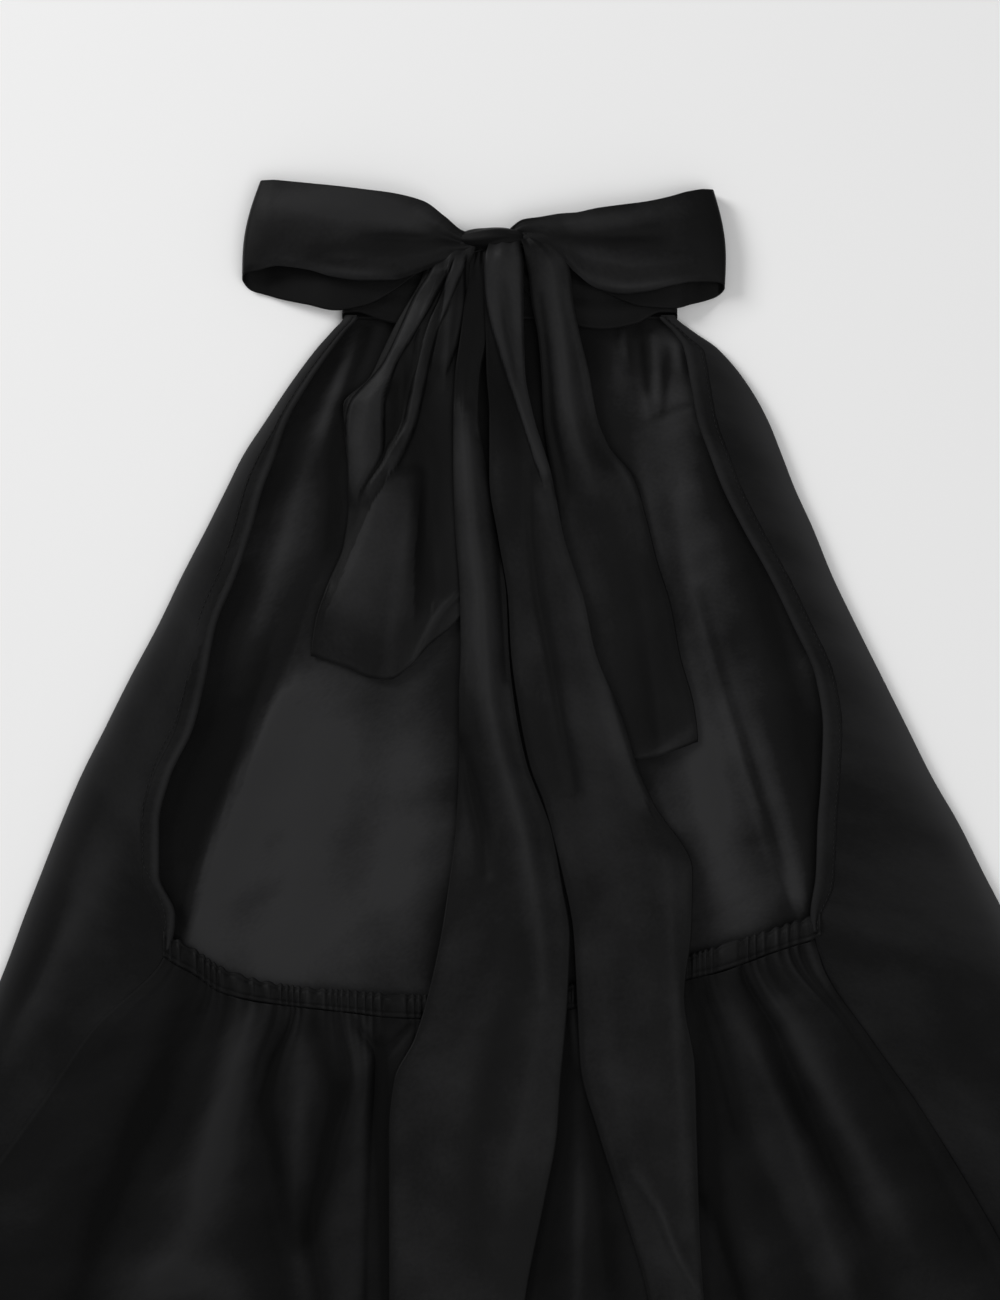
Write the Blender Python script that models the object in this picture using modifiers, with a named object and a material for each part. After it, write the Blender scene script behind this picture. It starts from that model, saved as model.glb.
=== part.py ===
"""Sleeveless halter top of thin black cloth, laid flat with its open back up.

The front panel lies on the surface and is cut wide, so its sides turn over to
the back. Each turned side is finished by a narrow armhole band, and meets the
gathered back panel along a slanting side seam. An elastic casing holds the top
of the back panel. A neckband runs round the neck and ends under a tied bow with
two loops, two short ends and two long ends.

Frame: the origin is on the flat underside of the front panel, +X is to the
right of the view from above, +Y points to the neck and +Z up. All lengths in
the tables are millimetres; they become metres as the meshes are placed.
"""

import math
from collections import namedtuple

import bmesh
import bpy

MM = 0.001

CLOTH = 1.2          # wall of a single layer of cloth, with its hems
STRAP = 1.6          # wall of the doubled neckband and ties
BAND = 1.0           # wall of an armhole band
CASING = 2.2         # wall of the casing with the elastic in it
SEAM_GAP = 0.4       # clear gap between pieces that are sewn together
LAID_GAP = 0.35      # clear gap between a piece and what it lies on
CASING_GAP = 0.7     # the same below the casing, whose edge is uneven
SIDE_SEAM_GAP = 0.8  # the same along X at the slanting side seams

FRONT_Z = CLOTH / 2  # middle of the front panel's wall: its underside is at 0
BACK_Z = 7.4         # middle of the back layer's wall over a clear hollow
FOLD_REACH = 7.0     # how far in the rounded fold at a side edge reaches
BAND_WIDTH = 9.0     # armhole band, across
SIDE_STEPS = 3       # steps of mesh across the flat of a turned side

# A quarter of the rounded fold at a side edge, from its outermost point to
# where the cloth lies flat: how far in, as a share of the fold's reach, and how
# far from half height, as a share of half the height of the fold.
Curl = namedtuple("Curl", "inset rise")
CURL = (
    Curl(0.0, None),
    Curl(0.0, 0.32),
    Curl(0.10, 0.68),
    Curl(0.38, 0.93),
    Curl(1.0, 1.0),
)
CURL_STEPS = len(CURL) - 1

# The body, section by section from the neck seam to the hem: the outer edges,
# and the inner edges of the turned sides, which follow the armhole down to the
# casing and the side seam below it.
Body = namedtuple("Body", "y left inner_left inner_right right")
BODY = (
    Body(305, -87, -80, 90, 98),
    Body(296, -94, -87, 98, 108),
    Body(287, -102, -94, 104, 121),
    Body(267, -117, -108, 108, 138),
    Body(246, -131, -120, 112, 150),
    Body(226, -144, -127, 119, 158),
    Body(208, -153, -134, 126, 165),
    Body(186, -164, -140, 137, 175),
    Body(159, -178, -149, 152, 186),
    Body(132, -191, -160, 165, 199),
    Body(102, -207, -166, 178, 214),
    Body(74, -221, -173, 182, 228),
    Body(46, -235, -186, 181, 242),
    Body(20, -246, -192, 179, 257),
    Body(-8, -257, -192, 178, 271),
    Body(-31, -266, -183, 175, 283),
    Body(-58, -276, -188, 180, 297),
    Body(-100, -293, -230, 207, 317),
    Body(-137, -307, -256, 234, 334),
    Body(-178, -323, -286, 260, 351),
    Body(-225, -342, -317, 287, 370),
    Body(-275, -361, -342, 313, 391),
    Body(-325, -381, -364, 338, 411),
    Body(-376, -401, -384, 362, 431),
)
ARMHOLE_END = 15     # row of BODY where the armhole ends at the casing
HEM_SAG = 8.0        # the hem is this much lower at the middle than at the sides

# Fold lines of the front panel: x and the rise of the cloth at each station.
Line = namedtuple("Line", "name x rise")
FRONT_STATIONS = (305, 255, 200, 120, 40, -40, -376)
FRONT_LINES = (
    Line("left_flat", (-72, -96, -118, -148, -178, -205, -330), (0, 0, 0, 0, 0, 0, 0)),
    Line("left_fold", (-60, -80, -102, -128, -152, -174, -250), (0.8, 1.0, 1.2, 1.4, 1.6, 1.0, 0)),
    Line("left_flat_inner", (-40, -55, -72, -98, -116, -132, -180), (0, 0, 0, 0, 0, 0, 0)),
    Line("middle_left", (-20, -28, -36, -50, -60, -66, -90), (0.8, 0.6, 0.4, 0.5, 0.6, 0.3, 0)),
    Line("middle", (2, 2, 2, 0, 0, 0, 0), (0, 0, 0, 0, 0, 0, 0)),
    Line("middle_right", (26, 32, 38, 46, 54, 60, 80), (0.8, 0.6, 0.5, 0.5, 0.5, 0.3, 0)),
    Line("right_flat", (52, 64, 76, 90, 100, 112, 160), (0, 0, 0, 0, 0, 0, 0)),
    Line("right_crease", (70, 86, 101, 121, 140, 168, 250), (1.2, 1.4, 1.8, 2.2, 2.2, 1.2, 0)),
    Line("right_flat_outer", (84, 104, 122, 150, 178, 208, 340), (0, 0, 0, 0, 0, 0, 0)),
)

# The casing from its left to its right end: its upper and lower edge at x.
Casing = namedtuple("Casing", "x top bottom")
CASING_ROWS = (
    Casing(-182, -43, -58),
    Casing(-171, -50, -65),
    Casing(-156, -60, -74),
    Casing(-136, -67, -79),
    Casing(-113, -71, -82),
    Casing(-86, -73, -85),
    Casing(-60, -75, -88),
    Casing(-30, -76, -89),
    Casing(0, -76, -88),
    Casing(40, -70, -83),
    Casing(72, -63, -76),
    Casing(103, -54, -67),
    Casing(121, -49, -63),
    Casing(136, -44, -58),
    Casing(152, -39, -52),
    Casing(164, -35, -48),
    Casing(174, -32, -45),
)
CASING_PLEATS = 26   # fine pleats that the elastic draws in
CASING_PLEAT_RISE = 0.4

# Valleys between the pleats of the back panel: x at each station, given as a
# share of the way from the casing to the hem, and the rise of the pleat that
# follows to the right of the valley, at the casing and at the hem.
Valley = namedtuple("Valley", "name x rise_top rise_hem")
SKIRT_STATIONS = (0.0, 0.12, 0.25, 0.40, 0.55, 1.0)
SKIRT_VALLEYS = (
    Valley("broad_left", (-156, -163, -175, -202, -237, -300), 4.6, 3.0),
    Valley("bent_left", (-117, -129, -137, -131, -123, -140), 3.4, 2.6),
    Valley("short_left", (-90, -84, -95, -104, -99, -104), 4.0, 3.0),
    Valley("slit_left", (-66, -68, -69, -70, -71, -74), 1.4, 1.6),
    Valley("under_left_tie", (-34, -36, -36, -34, -32, -36), 1.4, 1.8),
    Valley("middle", (0, 0, 4, 6, 8, 10), 1.4, 1.8),
    Valley("between_ties", (36, 40, 46, 51, 56, 64), 1.4, 1.8),
    Valley("under_right_tie", (80, 88, 98, 112, 129, 160), 1.6, 2.6),
    Valley("slit_right", (112, 123, 135, 150, 168, 212), 4.4, 3.0),
    Valley("long_right", (136, 155, 173, 192, 208, 262), 4.2, 2.8),
    Valley("by_seam_right", (160, 188, 217, 245, 274, 336), 0.7, 1.4),
)
PLEAT_BY_SEAM = Valley("seam_left", None, 1.0, 1.8)
PLEAT_STEPS = 4      # steps of mesh from one valley to the next
VALLEY_Z = BACK_Z + 0.2

# Where each row of the back panel meets the side seams, from the casing to the
# hem, counted in rows of BODY. The casing ends higher on the right.
Seam = namedtuple("Seam", "left right")
SKIRT_SEAMS = (
    Seam(16.0, 15.6), Seam(16.5, 16.0), Seam(17, 17), Seam(17.5, 17.5), Seam(18, 18),
    Seam(19, 19), Seam(20, 20), Seam(21, 21), Seam(22, 22), Seam(23, 23),
)

# Turned-over halves of the neckband, from the side fold to under the knot.
Half = namedtuple("Half", "x low top")
NECKBAND_LEFT = (
    Half(-80, 306.5, 334), Half(-66, 302, 334), Half(-50, 299, 335),
    Half(-32, 301, 339), Half(-16, 312, 345), Half(3.7, 326, 350),
)
NECKBAND_RIGHT = (
    Half(90, 306.5, 334), Half(76, 300, 334), Half(58, 297, 335),
    Half(38, 300, 339), Half(22, 311, 345), Half(4.3, 326, 350),
)
NECKBAND_LOW = 305.5
NECKBAND_TOP = 334.0
NECKBAND_FOLD = 6.0  # how far in the fold at each side of the neckband reaches

# Each loop of the bow, from the knot out along its under layer, round the
# turn and back along its upper layer: the lower and the upper edge, and the
# height of the middle of the wall.
Loop = namedtuple("Loop", "x_low y_low x_top y_top z")
LOOP_LEFT = (
    Loop(-18.5, 337, -18.5, 349, 13.0),
    Loop(-32, 333, -31, 358, 11.4),
    Loop(-47, 327, -42, 366, 10.5),
    Loop(-60, 318, -58, 370, 10.1),
    Loop(-76, 310, -76, 373, 10.0),
    Loop(-92, 307.5, -90, 375, 8.9),
    Loop(-108, 311, -104, 376, 5.8),
    Loop(-122, 314, -116, 378, 3.2),
    Loop(-132, 317, -125, 379, 1.8),
    Loop(-140, 319.5, -131, 380, 2.6),
    Loop(-144, 325, -134, 379.5, 5.8),
    Loop(-143, 328, -133, 380, 9.0),
    Loop(-136, 329.5, -127, 380, 11.2),
    Loop(-124, 332, -117, 379, 12.8),
    Loop(-108, 330, -104, 377.5, 14.4),
    Loop(-92, 325.5, -91, 376, 16.0),
    Loop(-76, 323.5, -76, 374, 17.4),
    Loop(-60, 323.5, -58, 371.5, 18.2),
    Loop(-47, 327, -42, 367, 18.4),
    Loop(-32, 333.5, -31, 359, 18.0),
    Loop(-18.5, 338, -18.5, 351, 17.0),
)
LOOP_RIGHT = (
    Loop(26.5, 338, 26.5, 351, 13.0),
    Loop(36, 333, 37, 358, 11.4),
    Loop(50, 323, 50, 362, 10.5),
    Loop(64, 315, 64, 364.5, 10.1),
    Loop(80, 309.5, 80, 366.5, 10.0),
    Loop(97, 308.5, 96, 369, 9.5),
    Loop(107, 311, 105, 371.5, 6.9),
    Loop(116, 313.5, 112, 373, 3.8),
    Loop(122, 316, 117, 374.5, 2.6),
    Loop(125.5, 320, 119.5, 374, 5.8),
    Loop(125, 322, 118.5, 375, 8.8),
    Loop(119, 323, 114, 375, 10.8),
    Loop(108, 323, 105, 373.5, 12.8),
    Loop(96, 321, 95, 370.5, 14.6),
    Loop(82, 317.5, 82, 367.5, 16.4),
    Loop(68, 316, 68, 365.5, 17.6),
    Loop(54, 319, 54, 363.5, 18.3),
    Loop(42, 328, 42, 361, 18.2),
    Loop(34, 336, 34, 360, 17.6),
    Loop(26.5, 342, 26.5, 357, 17.0),
)
LOOP_BULGE = 1.6     # the upper layer stands this much higher along its middle
LOOP_TURN = 10       # row of both loop tables at the outermost point of the turn

# The knot: a rounded lump of wound cloth with slanting grooves.
KNOT_CENTRE = (4.0, 344.0, 15.6)
KNOT_HALF = (21.5, 13.5, 7.4)
KNOT_GROOVES = 3
KNOT_GROOVE = 0.07   # depth of a groove as a share of the half size
KNOT_TWIST = 1.6     # how far the grooves slant round the knot

# The ends of the ties, section by section away from the knot: the edges, the
# height of the middle of the wall, and where across the width, from 0 at the
# left edge to 1 at the right, the lengthwise fold runs and how far it rises.
Tie = namedtuple("Tie", "y left right z fold rise")
SHORT_LEFT = (
    Tie(330, -28, -17, 14.0, 0.5, 0.0),
    Tie(322, -43, -17.5, 12.2, 0.5, 0.6),
    Tie(312, -51, -18.5, 11.0, 0.4, 1.2),
    Tie(300, -58, -20, 10.2, 0.35, 2.0),
    Tie(284, -66, -22, 7.6, 0.3, 3.0),
    Tie(270, -73, -22, 5.4, 0.3, 3.8),
    Tie(255, -88, -22, 4.2, 0.32, 4.4),
    Tie(240, -87, -22, 3.8, 0.3, 4.6),
    Tie(220, -85, -21, 3.7, 0.28, 4.4),
    Tie(198, -85, -21, 3.7, 0.3, 4.0),
    Tie(176, -88, -20, 3.7, 0.34, 3.4),
    Tie(156, -96, -19, 3.7, 0.38, 2.8),
    Tie(132, -104, -18, 3.7, 0.42, 2.2),
    Tie(114, -106, -18, 3.7, 0.45, 1.6),
)
SHORT_LEFT_HEM = (0, -3, -7, -12, -13, -6, 6, 15, 24)
SHORT_RIGHT = (
    Tie(330, 17, 32, 14.0, 0.5, 0.0),
    Tie(322, 19, 38, 12.4, 0.5, 0.6),
    Tie(308, 21, 42, 11.0, 0.5, 1.4),
    Tie(294, 22, 45, 9.8, 0.5, 2.0),
    Tie(272, 23, 50, 6.4, 0.5, 3.0),
    Tie(250, 24, 54, 4.4, 0.5, 3.6),
    Tie(232, 26, 61, 3.9, 0.5, 3.8),
    Tie(214, 29, 75, 3.7, 0.55, 3.6),
    Tie(192, 31, 82, 3.7, 0.6, 3.2),
    Tie(168, 34, 88, 3.7, 0.65, 2.8),
    Tie(142, 40, 96, 3.7, 0.68, 2.4),
    Tie(115, 46, 101, 3.7, 0.7, 2.2),
    Tie(84, 58, 109, 3.7, 0.7, 2.0),
    Tie(64, 66, 111, 3.7, 0.7, 1.6),
)
SHORT_RIGHT_HEM = (-10, -9, -8, -7, -6, -4, -2, 0, 2)
LONG_LEFT = (
    Tie(330, -15.5, -9.5, 15.4, 0.5, 0.0),
    Tie(312, -16.5, -10, 14.2, 0.5, 0.0),
    Tie(294, -19, -10, 12.4, 0.5, 0.2),
    Tie(272, -25, -11, 9.8, 0.5, 0.8),
    Tie(249, -26, -13, 8.0, 0.5, 1.6),
    Tie(220, -26, -9, 6.9, 0.5, 2.6),
    Tie(187, -25, -4, 6.5, 0.5, 3.4),
    Tie(150, -22.5, 2.5, 6.5, 0.45, 4.0),
    Tie(118, -22, 4, 6.3, 0.45, 4.2),
    Tie(92, -23, 6.5, 5.4, 0.45, 4.4),
    Tie(56, -23, 13, 4.4, 0.5, 4.6),
    Tie(16, -25, 28, 4.8, 0.6, 4.6),
    Tie(-16, -29, 33, 7.6, 0.65, 4.2),
    Tie(-42, -33, 38, 10.9, 0.68, 3.6),
    Tie(-74, -40, 38, 11.2, 0.7, 3.2),
    Tie(-100, -48, 36, 11.2, 0.7, 3.0),
    Tie(-122, -59, 34, 11.2, 0.68, 2.8),
    Tie(-152, -62, 32, 11.2, 0.66, 2.6),
    Tie(-190, -62, 25, 11.2, 0.64, 2.6),
    Tie(-246, -62, 14, 11.2, 0.62, 2.4),
    Tie(-322, -62, 6, 11.2, 0.6, 2.0),
)
LONG_LEFT_HEM = (0, 0, 0, 0, 0, 0, 0, 0, 0)
LONG_RIGHT = (
    Tie(330, -7.5, 12, 16.2, 0.5, 0.6),
    Tie(312, -8.5, 12, 14.8, 0.5, 1.8),
    Tie(294, -8, 13, 13.2, 0.55, 2.8),
    Tie(272, -7.5, 14, 10.8, 0.6, 3.4),
    Tie(250, -6, 18, 8.8, 0.65, 3.6),
    Tie(214, -5.5, 29, 7.0, 0.7, 3.6),
    Tie(180, 0, 36, 6.7, 0.75, 3.2),
    Tie(146, 5.5, 47, 6.7, 0.76, 3.0),
    Tie(118, 6.5, 53, 6.7, 0.78, 3.0),
    Tie(78, 12, 69, 6.6, 0.78, 3.2),
    Tie(52, 18, 77, 6.0, 0.76, 3.2),
    Tie(32, 25, 86, 4.9, 0.74, 3.2),
    Tie(-6, 35, 108, 7.0, 0.7, 3.2),
    Tie(-40, 42, 107, 10.9, 0.66, 3.2),
    Tie(-76, 44, 103, 11.3, 0.62, 3.2),
    Tie(-115, 45, 109, 11.3, 0.6, 3.0),
    Tie(-152, 55, 110, 11.4, 0.56, 2.8),
    Tie(-190, 67, 111, 11.5, 0.52, 2.8),
    Tie(-246, 83, 114, 11.5, 0.5, 2.6),
    Tie(-322, 92, 128, 11.6, 0.5, 2.0),
)
LONG_RIGHT_HEM = (0, 0, 0, 0, 0, 0, 0, 0, 0)
TIE_STEPS = 8        # steps of mesh across a tie: one less than the hem's points

BLACK = (0.010, 0.010, 0.011)
BLACK_TIE = (0.012, 0.012, 0.013)
BLACK_INSIDE = (0.020, 0.020, 0.022)


def clear_scene():
    """Empties the open file of its objects."""
    for thing in list(bpy.data.objects):
        bpy.data.objects.remove(thing, do_unlink=True)


def cloth_material(name, colour, roughness):
    """A plain cloth material."""
    made = bpy.data.materials.new(name)
    made.use_nodes = True
    shader = made.node_tree.nodes["Principled BSDF"]
    shader.inputs["Base Color"].default_value = (*colour, 1.0)
    shader.inputs["Roughness"].default_value = roughness
    shader.inputs["Metallic"].default_value = 0.0
    made.diffuse_color = (*colour, 1.0)
    return made


def smooth_read(stations, values, at):
    """Reads values at a place between stations, smoothly and with no overshoot.

    The stations may rise or fall. Outside them the nearest value holds.
    """
    if stations[0] > stations[-1]:
        stations = [-s for s in stations]
        at = -at
    if at <= stations[0]:
        return values[0]
    if at >= stations[-1]:
        return values[-1]
    i = 0
    while stations[i + 1] < at:
        i += 1

    def slope(j):
        if j <= 0 or j >= len(stations) - 1:
            return 0.0
        before = (values[j] - values[j - 1]) / (stations[j] - stations[j - 1])
        after = (values[j + 1] - values[j]) / (stations[j + 1] - stations[j])
        if before * after <= 0:
            return 0.0
        return 2 * before * after / (before + after)

    width = stations[i + 1] - stations[i]
    t = (at - stations[i]) / width
    rise = values[i + 1] - values[i]
    ease = t * t * (3 - 2 * t)
    swing = t * (1 - t) * ((1 - t) * slope(i) - t * slope(i + 1)) * width
    return values[i] + rise * ease + swing


def ease(t):
    """Goes from 0 to 1 with level ends."""
    t = min(max(t, 0.0), 1.0)
    return 0.5 - 0.5 * math.cos(math.pi * t)


def mix(a, b, t):
    return a + (b - a) * t


def sheet(name, across, along, place, thickness, material, home):
    """Makes one sheet of cloth from a grid, placed point by point.

    place(i, j) gives a point of the middle of the wall, for column i and row j.
    """
    bm = bmesh.new()
    bmesh.ops.create_grid(bm, x_segments=across, y_segments=along, size=0.5)
    for vert in bm.verts:
        i = round((vert.co.x + 0.5) * across)
        j = round((vert.co.y + 0.5) * along)
        vert.co = [MM * value for value in place(i, j)]
    mesh = bpy.data.meshes.new(name)
    bm.to_mesh(mesh)
    bm.free()
    mesh.shade_smooth()
    mesh.materials.append(material)
    made = bpy.data.objects.new(name, mesh)
    home.objects.link(made)
    wall = made.modifiers.new("wall", "SOLIDIFY")
    wall.thickness = MM * thickness
    wall.offset = 0.0
    wall.use_even_offset = True
    return made


def hem_y(row, share):
    """Height along Y of a body row, with the hem sagging at the middle."""
    lowest, start = BODY[-1].y, BODY[ARMHOLE_END].y
    down = ease((start - row.y) / (start - lowest))
    return row.y - HEM_SAG * down * math.sin(math.pi * min(max(share, 0.0), 1.0))


def side_fold(row):
    """How far in the folds at the left and right edge of a body row reach."""
    left = min(FOLD_REACH, 0.55 * (row.inner_left - row.left))
    right = min(FOLD_REACH, 0.55 * (row.right - row.inner_right))
    return left, right


def fold_point(step, reach, upper):
    """Inset and height at a step round a quarter of a side fold.

    Step 0 is at the outermost point, beside the gap; the last step is where the
    cloth lies flat again, on the back for the upper quarter.
    """
    middle, half = (BACK_Z + FRONT_Z) / 2, (BACK_Z - FRONT_Z) / 2
    rise = half * CURL[step].rise if step else SEAM_GAP / 2
    return reach * CURL[step].inset, middle + (rise if upper else -rise)


def front_panel(home):
    """The front: flat on the surface, with soft folds, its edges turned up."""
    lines = len(FRONT_LINES)
    flat = 2 * (lines + 1)
    across = flat + 2 * CURL_STEPS

    def place(i, j):
        row = BODY[len(BODY) - 1 - j]
        reach_left, reach_right = side_fold(row)
        if i <= CURL_STEPS:
            inset, z = fold_point(i, reach_left, False)
            x = row.left + inset
        elif i >= across - CURL_STEPS:
            inset, z = fold_point(across - i, reach_right, False)
            x = row.right - inset
        else:
            stops = [(row.left + reach_left, 0.0)]
            for line in FRONT_LINES:
                stops.append((
                    smooth_read(FRONT_STATIONS, line.x, row.y),
                    smooth_read(FRONT_STATIONS, line.rise, row.y),
                ))
            stops.append((row.right - reach_right, 0.0))
            place_in = (i - CURL_STEPS) / 2
            k = min(int(place_in), len(stops) - 2)
            t = place_in - k
            x = mix(stops[k][0], stops[k + 1][0], t)
            z = FRONT_Z + mix(stops[k][1], stops[k + 1][1], t)
        share = (x - row.left) / (row.right - row.left)
        return x, hem_y(row, share), z

    material = cloth_material("front_cloth", BLACK_INSIDE, 0.55)
    return sheet("front_panel", across, len(BODY) - 1, place, CLOTH, material, home)


def turned_point(row, i, right):
    """A point of a turned side: columns run from the side fold to the inner edge."""
    outer, inner = (row.right, row.inner_right) if right else (row.left, row.inner_left)
    reach = side_fold(row)[1 if right else 0]
    way = -1 if right else 1
    if i <= CURL_STEPS:
        inset, z = fold_point(i, reach, True)
        x = outer + way * inset
    else:
        t = (i - CURL_STEPS) / SIDE_STEPS
        x = mix(outer + way * reach, inner, t)
        z = BACK_Z
    share = (x - row.left) / (row.right - row.left)
    return x, hem_y(row, share), z


def turned_side(name, right, home):
    """The side of the front that is turned over to the back."""
    across = CURL_STEPS + SIDE_STEPS

    def place(i, j):
        return turned_point(BODY[len(BODY) - 1 - j], i, right)

    material = cloth_material(name + "_cloth", BLACK, 0.6)
    return sheet(name, across, len(BODY) - 1, place, CLOTH, material, home)


def armhole_band(name, right, home):
    """A narrow band on the turned side, along the edge of the open back."""
    rows = BODY[:ARMHOLE_END + 1]
    lift = CLOTH / 2 + LAID_GAP + BAND / 2

    def place(i, j):
        row = rows[len(rows) - 1 - j]
        outer, inner = (row.right, row.inner_right) if right else (row.left, row.inner_left)
        flat = abs(inner - outer) - side_fold(row)[1 if right else 0]
        width = min(BAND_WIDTH, 0.9 * flat)
        x = inner + (1 if right else -1) * width * i / 2
        share = (x - row.left) / (row.right - row.left)
        return x, hem_y(row, share), BACK_Z + lift

    material = cloth_material(name + "_cloth", BLACK, 0.6)
    return sheet(name, 2, len(rows) - 1, place, BAND, material, home)


def casing_edge(x, column):
    return smooth_read([c.x for c in CASING_ROWS], [getattr(c, column) for c in CASING_ROWS], x)


def elastic_casing(home):
    """The casing along the top of the back panel, drawn in by its elastic."""
    along = 2 * CASING_PLEATS
    first, last = CASING_ROWS[0].x, CASING_ROWS[-1].x

    def place(i, j):
        x = mix(first, last, i / along)
        top, bottom = casing_edge(x, "top"), casing_edge(x, "bottom")
        crest = CASING_PLEAT_RISE if i % 2 else -CASING_PLEAT_RISE
        z = BACK_Z + (CASING - CLOTH) / 2 + crest
        return x, mix(bottom, top, j / 2), z + (0.3 if j == 1 else 0.0)

    material = cloth_material("casing_cloth", BLACK, 0.6)
    return sheet("elastic_casing", along, 2, place, CASING, material, home)


def seam_point(position, column):
    """A point of the side seam at a place between two rows of the body."""
    k = min(int(position), len(BODY) - 2)
    ends = []
    for row in (BODY[k], BODY[k + 1]):
        x = getattr(row, column)
        ends.append((x, hem_y(row, (x - row.left) / (row.right - row.left))))
    t = position - k
    return mix(ends[0][0], ends[1][0], t), mix(ends[0][1], ends[1][1], t)


def back_panel(home):
    """The gathered back below the casing, with its pleats running to the hem."""
    spans = len(SKIRT_VALLEYS) + 1
    across = spans * PLEAT_STEPS
    hem = BODY[-1]

    def share_down(top, edge, y):
        """How far down the side seam a height is, from 0 at the casing to 1 at the hem."""
        start = seam_point(top, edge)[1]
        return (start - y) / (start - seam_point(len(BODY) - 1, edge)[1])

    def place(i, j):
        seam = SKIRT_SEAMS[len(SKIRT_SEAMS) - 1 - j]
        left_x, left_y = seam_point(seam.left, "inner_left")
        right_x, right_y = seam_point(seam.right, "inner_right")
        down = mix(
            share_down(SKIRT_SEAMS[0].left, "inner_left", left_y),
            share_down(SKIRT_SEAMS[0].right, "inner_right", right_y),
            i / across,
        )
        k = min(i // PLEAT_STEPS, spans - 1)
        t = i / PLEAT_STEPS - k

        def across_at(share, ends):
            lines = [smooth_read(SKIRT_STATIONS, v.x, share) for v in SKIRT_VALLEYS]
            stops = [ends[0]] + lines + [ends[1]]
            return mix(stops[k], stops[k + 1], t)

        x = across_at(down, (left_x + SIDE_SEAM_GAP, right_x - SIDE_SEAM_GAP))
        top_x = across_at(0.0, (CASING_ROWS[0].x, CASING_ROWS[-1].x))
        hem_x = across_at(1.0, (hem.inner_left, hem.inner_right))
        low = hem_y(hem, (hem_x - hem.left) / (hem.right - hem.left))
        y = mix(casing_edge(top_x, "bottom") - CASING_GAP, low, down)
        if i == 0:
            y = left_y if j < len(SKIRT_SEAMS) - 1 else y
        if i == across:
            y = right_y if j < len(SKIRT_SEAMS) - 1 else y
        pleat = PLEAT_BY_SEAM if k == 0 else SKIRT_VALLEYS[k - 1]
        rise = mix(pleat.rise_top, pleat.rise_hem, down) * math.sin(math.pi * t) ** 1.2
        return x, y, VALLEY_Z + rise * (0.55 + 0.45 * ease(down / 0.15))

    material = cloth_material("back_cloth", BLACK, 0.6)
    along = len(SKIRT_SEAMS) - 1
    return sheet("back_panel", across, along, place, CLOTH, material, home)


def neckband_front(home):
    """The half of the neckband that lies on the surface above the front."""
    first, last = BODY[0].left - 1.0, BODY[0].right + 1.0
    across = 12 + 2 * CURL_STEPS

    def place(i, j):
        if i <= CURL_STEPS:
            inset, z = fold_point(i, NECKBAND_FOLD, False)
            x = first + inset
        elif i >= across - CURL_STEPS:
            inset, z = fold_point(across - i, NECKBAND_FOLD, False)
            x = last - inset
        else:
            t = (i - CURL_STEPS) / (across - 2 * CURL_STEPS)
            x = mix(first + NECKBAND_FOLD, last - NECKBAND_FOLD, t)
            z = FRONT_Z
        lift = (STRAP - CLOTH) / 2
        return x, mix(NECKBAND_LOW + SEAM_GAP, NECKBAND_TOP, j / 3), z + lift

    material = cloth_material("neckband_front_cloth", BLACK_TIE, 0.5)
    return sheet("neckband_front", across, 3, place, STRAP, material, home)


def neckband_half(name, table, outer, home):
    """A half of the neckband turned over to the back, running in to the knot."""
    way = 1 if outer < 0 else -1
    across = CURL_STEPS + len(table)

    def place(i, j):
        if i < CURL_STEPS:
            inset, z = fold_point(i, NECKBAND_FOLD, True)
            x = outer + way * inset
            low, top = table[0].low, table[0].top
        elif i == CURL_STEPS:
            x, z = outer + way * NECKBAND_FOLD, BACK_Z
            low, top = table[0].low, table[0].top
        else:
            row = table[i - CURL_STEPS - 1]
            x, z, low, top = row.x, BACK_Z, row.low, row.top
        t = j / 4
        swell = 0.2 * math.sin(math.pi * t)
        return x, mix(low, top, t), z - swell

    material = cloth_material(name + "_cloth", BLACK_TIE, 0.5)
    return sheet(name, across, 4, place, STRAP, material, home)


def bow_loop(name, table, home):
    """A loop of the bow: a wide tie turned back on itself, open above and below."""
    across, along = 5, len(table) - 1

    def place(i, j):
        row = table[j]
        t = i / across
        upper = ease((j - LOOP_TURN + 1) / 4)
        pinch = ease((len(table) - 1 - j) / 3)
        z = row.z + LOOP_BULGE * upper * pinch * math.sin(math.pi * t)
        return mix(row.x_low, row.x_top, t), mix(row.y_low, row.y_top, t), z

    material = cloth_material(name + "_cloth", BLACK_TIE, 0.45)
    return sheet(name, across, along, place, STRAP, material, home)


def bow_knot(home):
    """The knot, a rounded lump of wound cloth with slanting grooves."""
    bm = bmesh.new()
    bmesh.ops.create_uvsphere(bm, u_segments=20, v_segments=12, radius=1.0)
    for vert in bm.verts:
        x, y, z = vert.co
        turn = math.atan2(z, y)
        groove = math.cos(KNOT_GROOVES * turn + KNOT_TWIST * x)
        size = 1.0 - KNOT_GROOVE * (0.5 - 0.5 * groove) * (1 - x * x)
        blunt = 1.0 + 0.16 * (1 - abs(x)) * abs(x)
        vert.co = (
            MM * (KNOT_CENTRE[0] + KNOT_HALF[0] * x * size),
            MM * (KNOT_CENTRE[1] + KNOT_HALF[1] * y * size * blunt * 0.96),
            MM * (KNOT_CENTRE[2] + KNOT_HALF[2] * z * size),
        )
    mesh = bpy.data.meshes.new("bow_knot")
    bm.to_mesh(mesh)
    bm.free()
    mesh.shade_smooth()
    mesh.materials.append(cloth_material("bow_knot_cloth", BLACK_TIE, 0.45))
    made = bpy.data.objects.new("bow_knot", mesh)
    home.objects.link(made)
    return made


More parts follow.
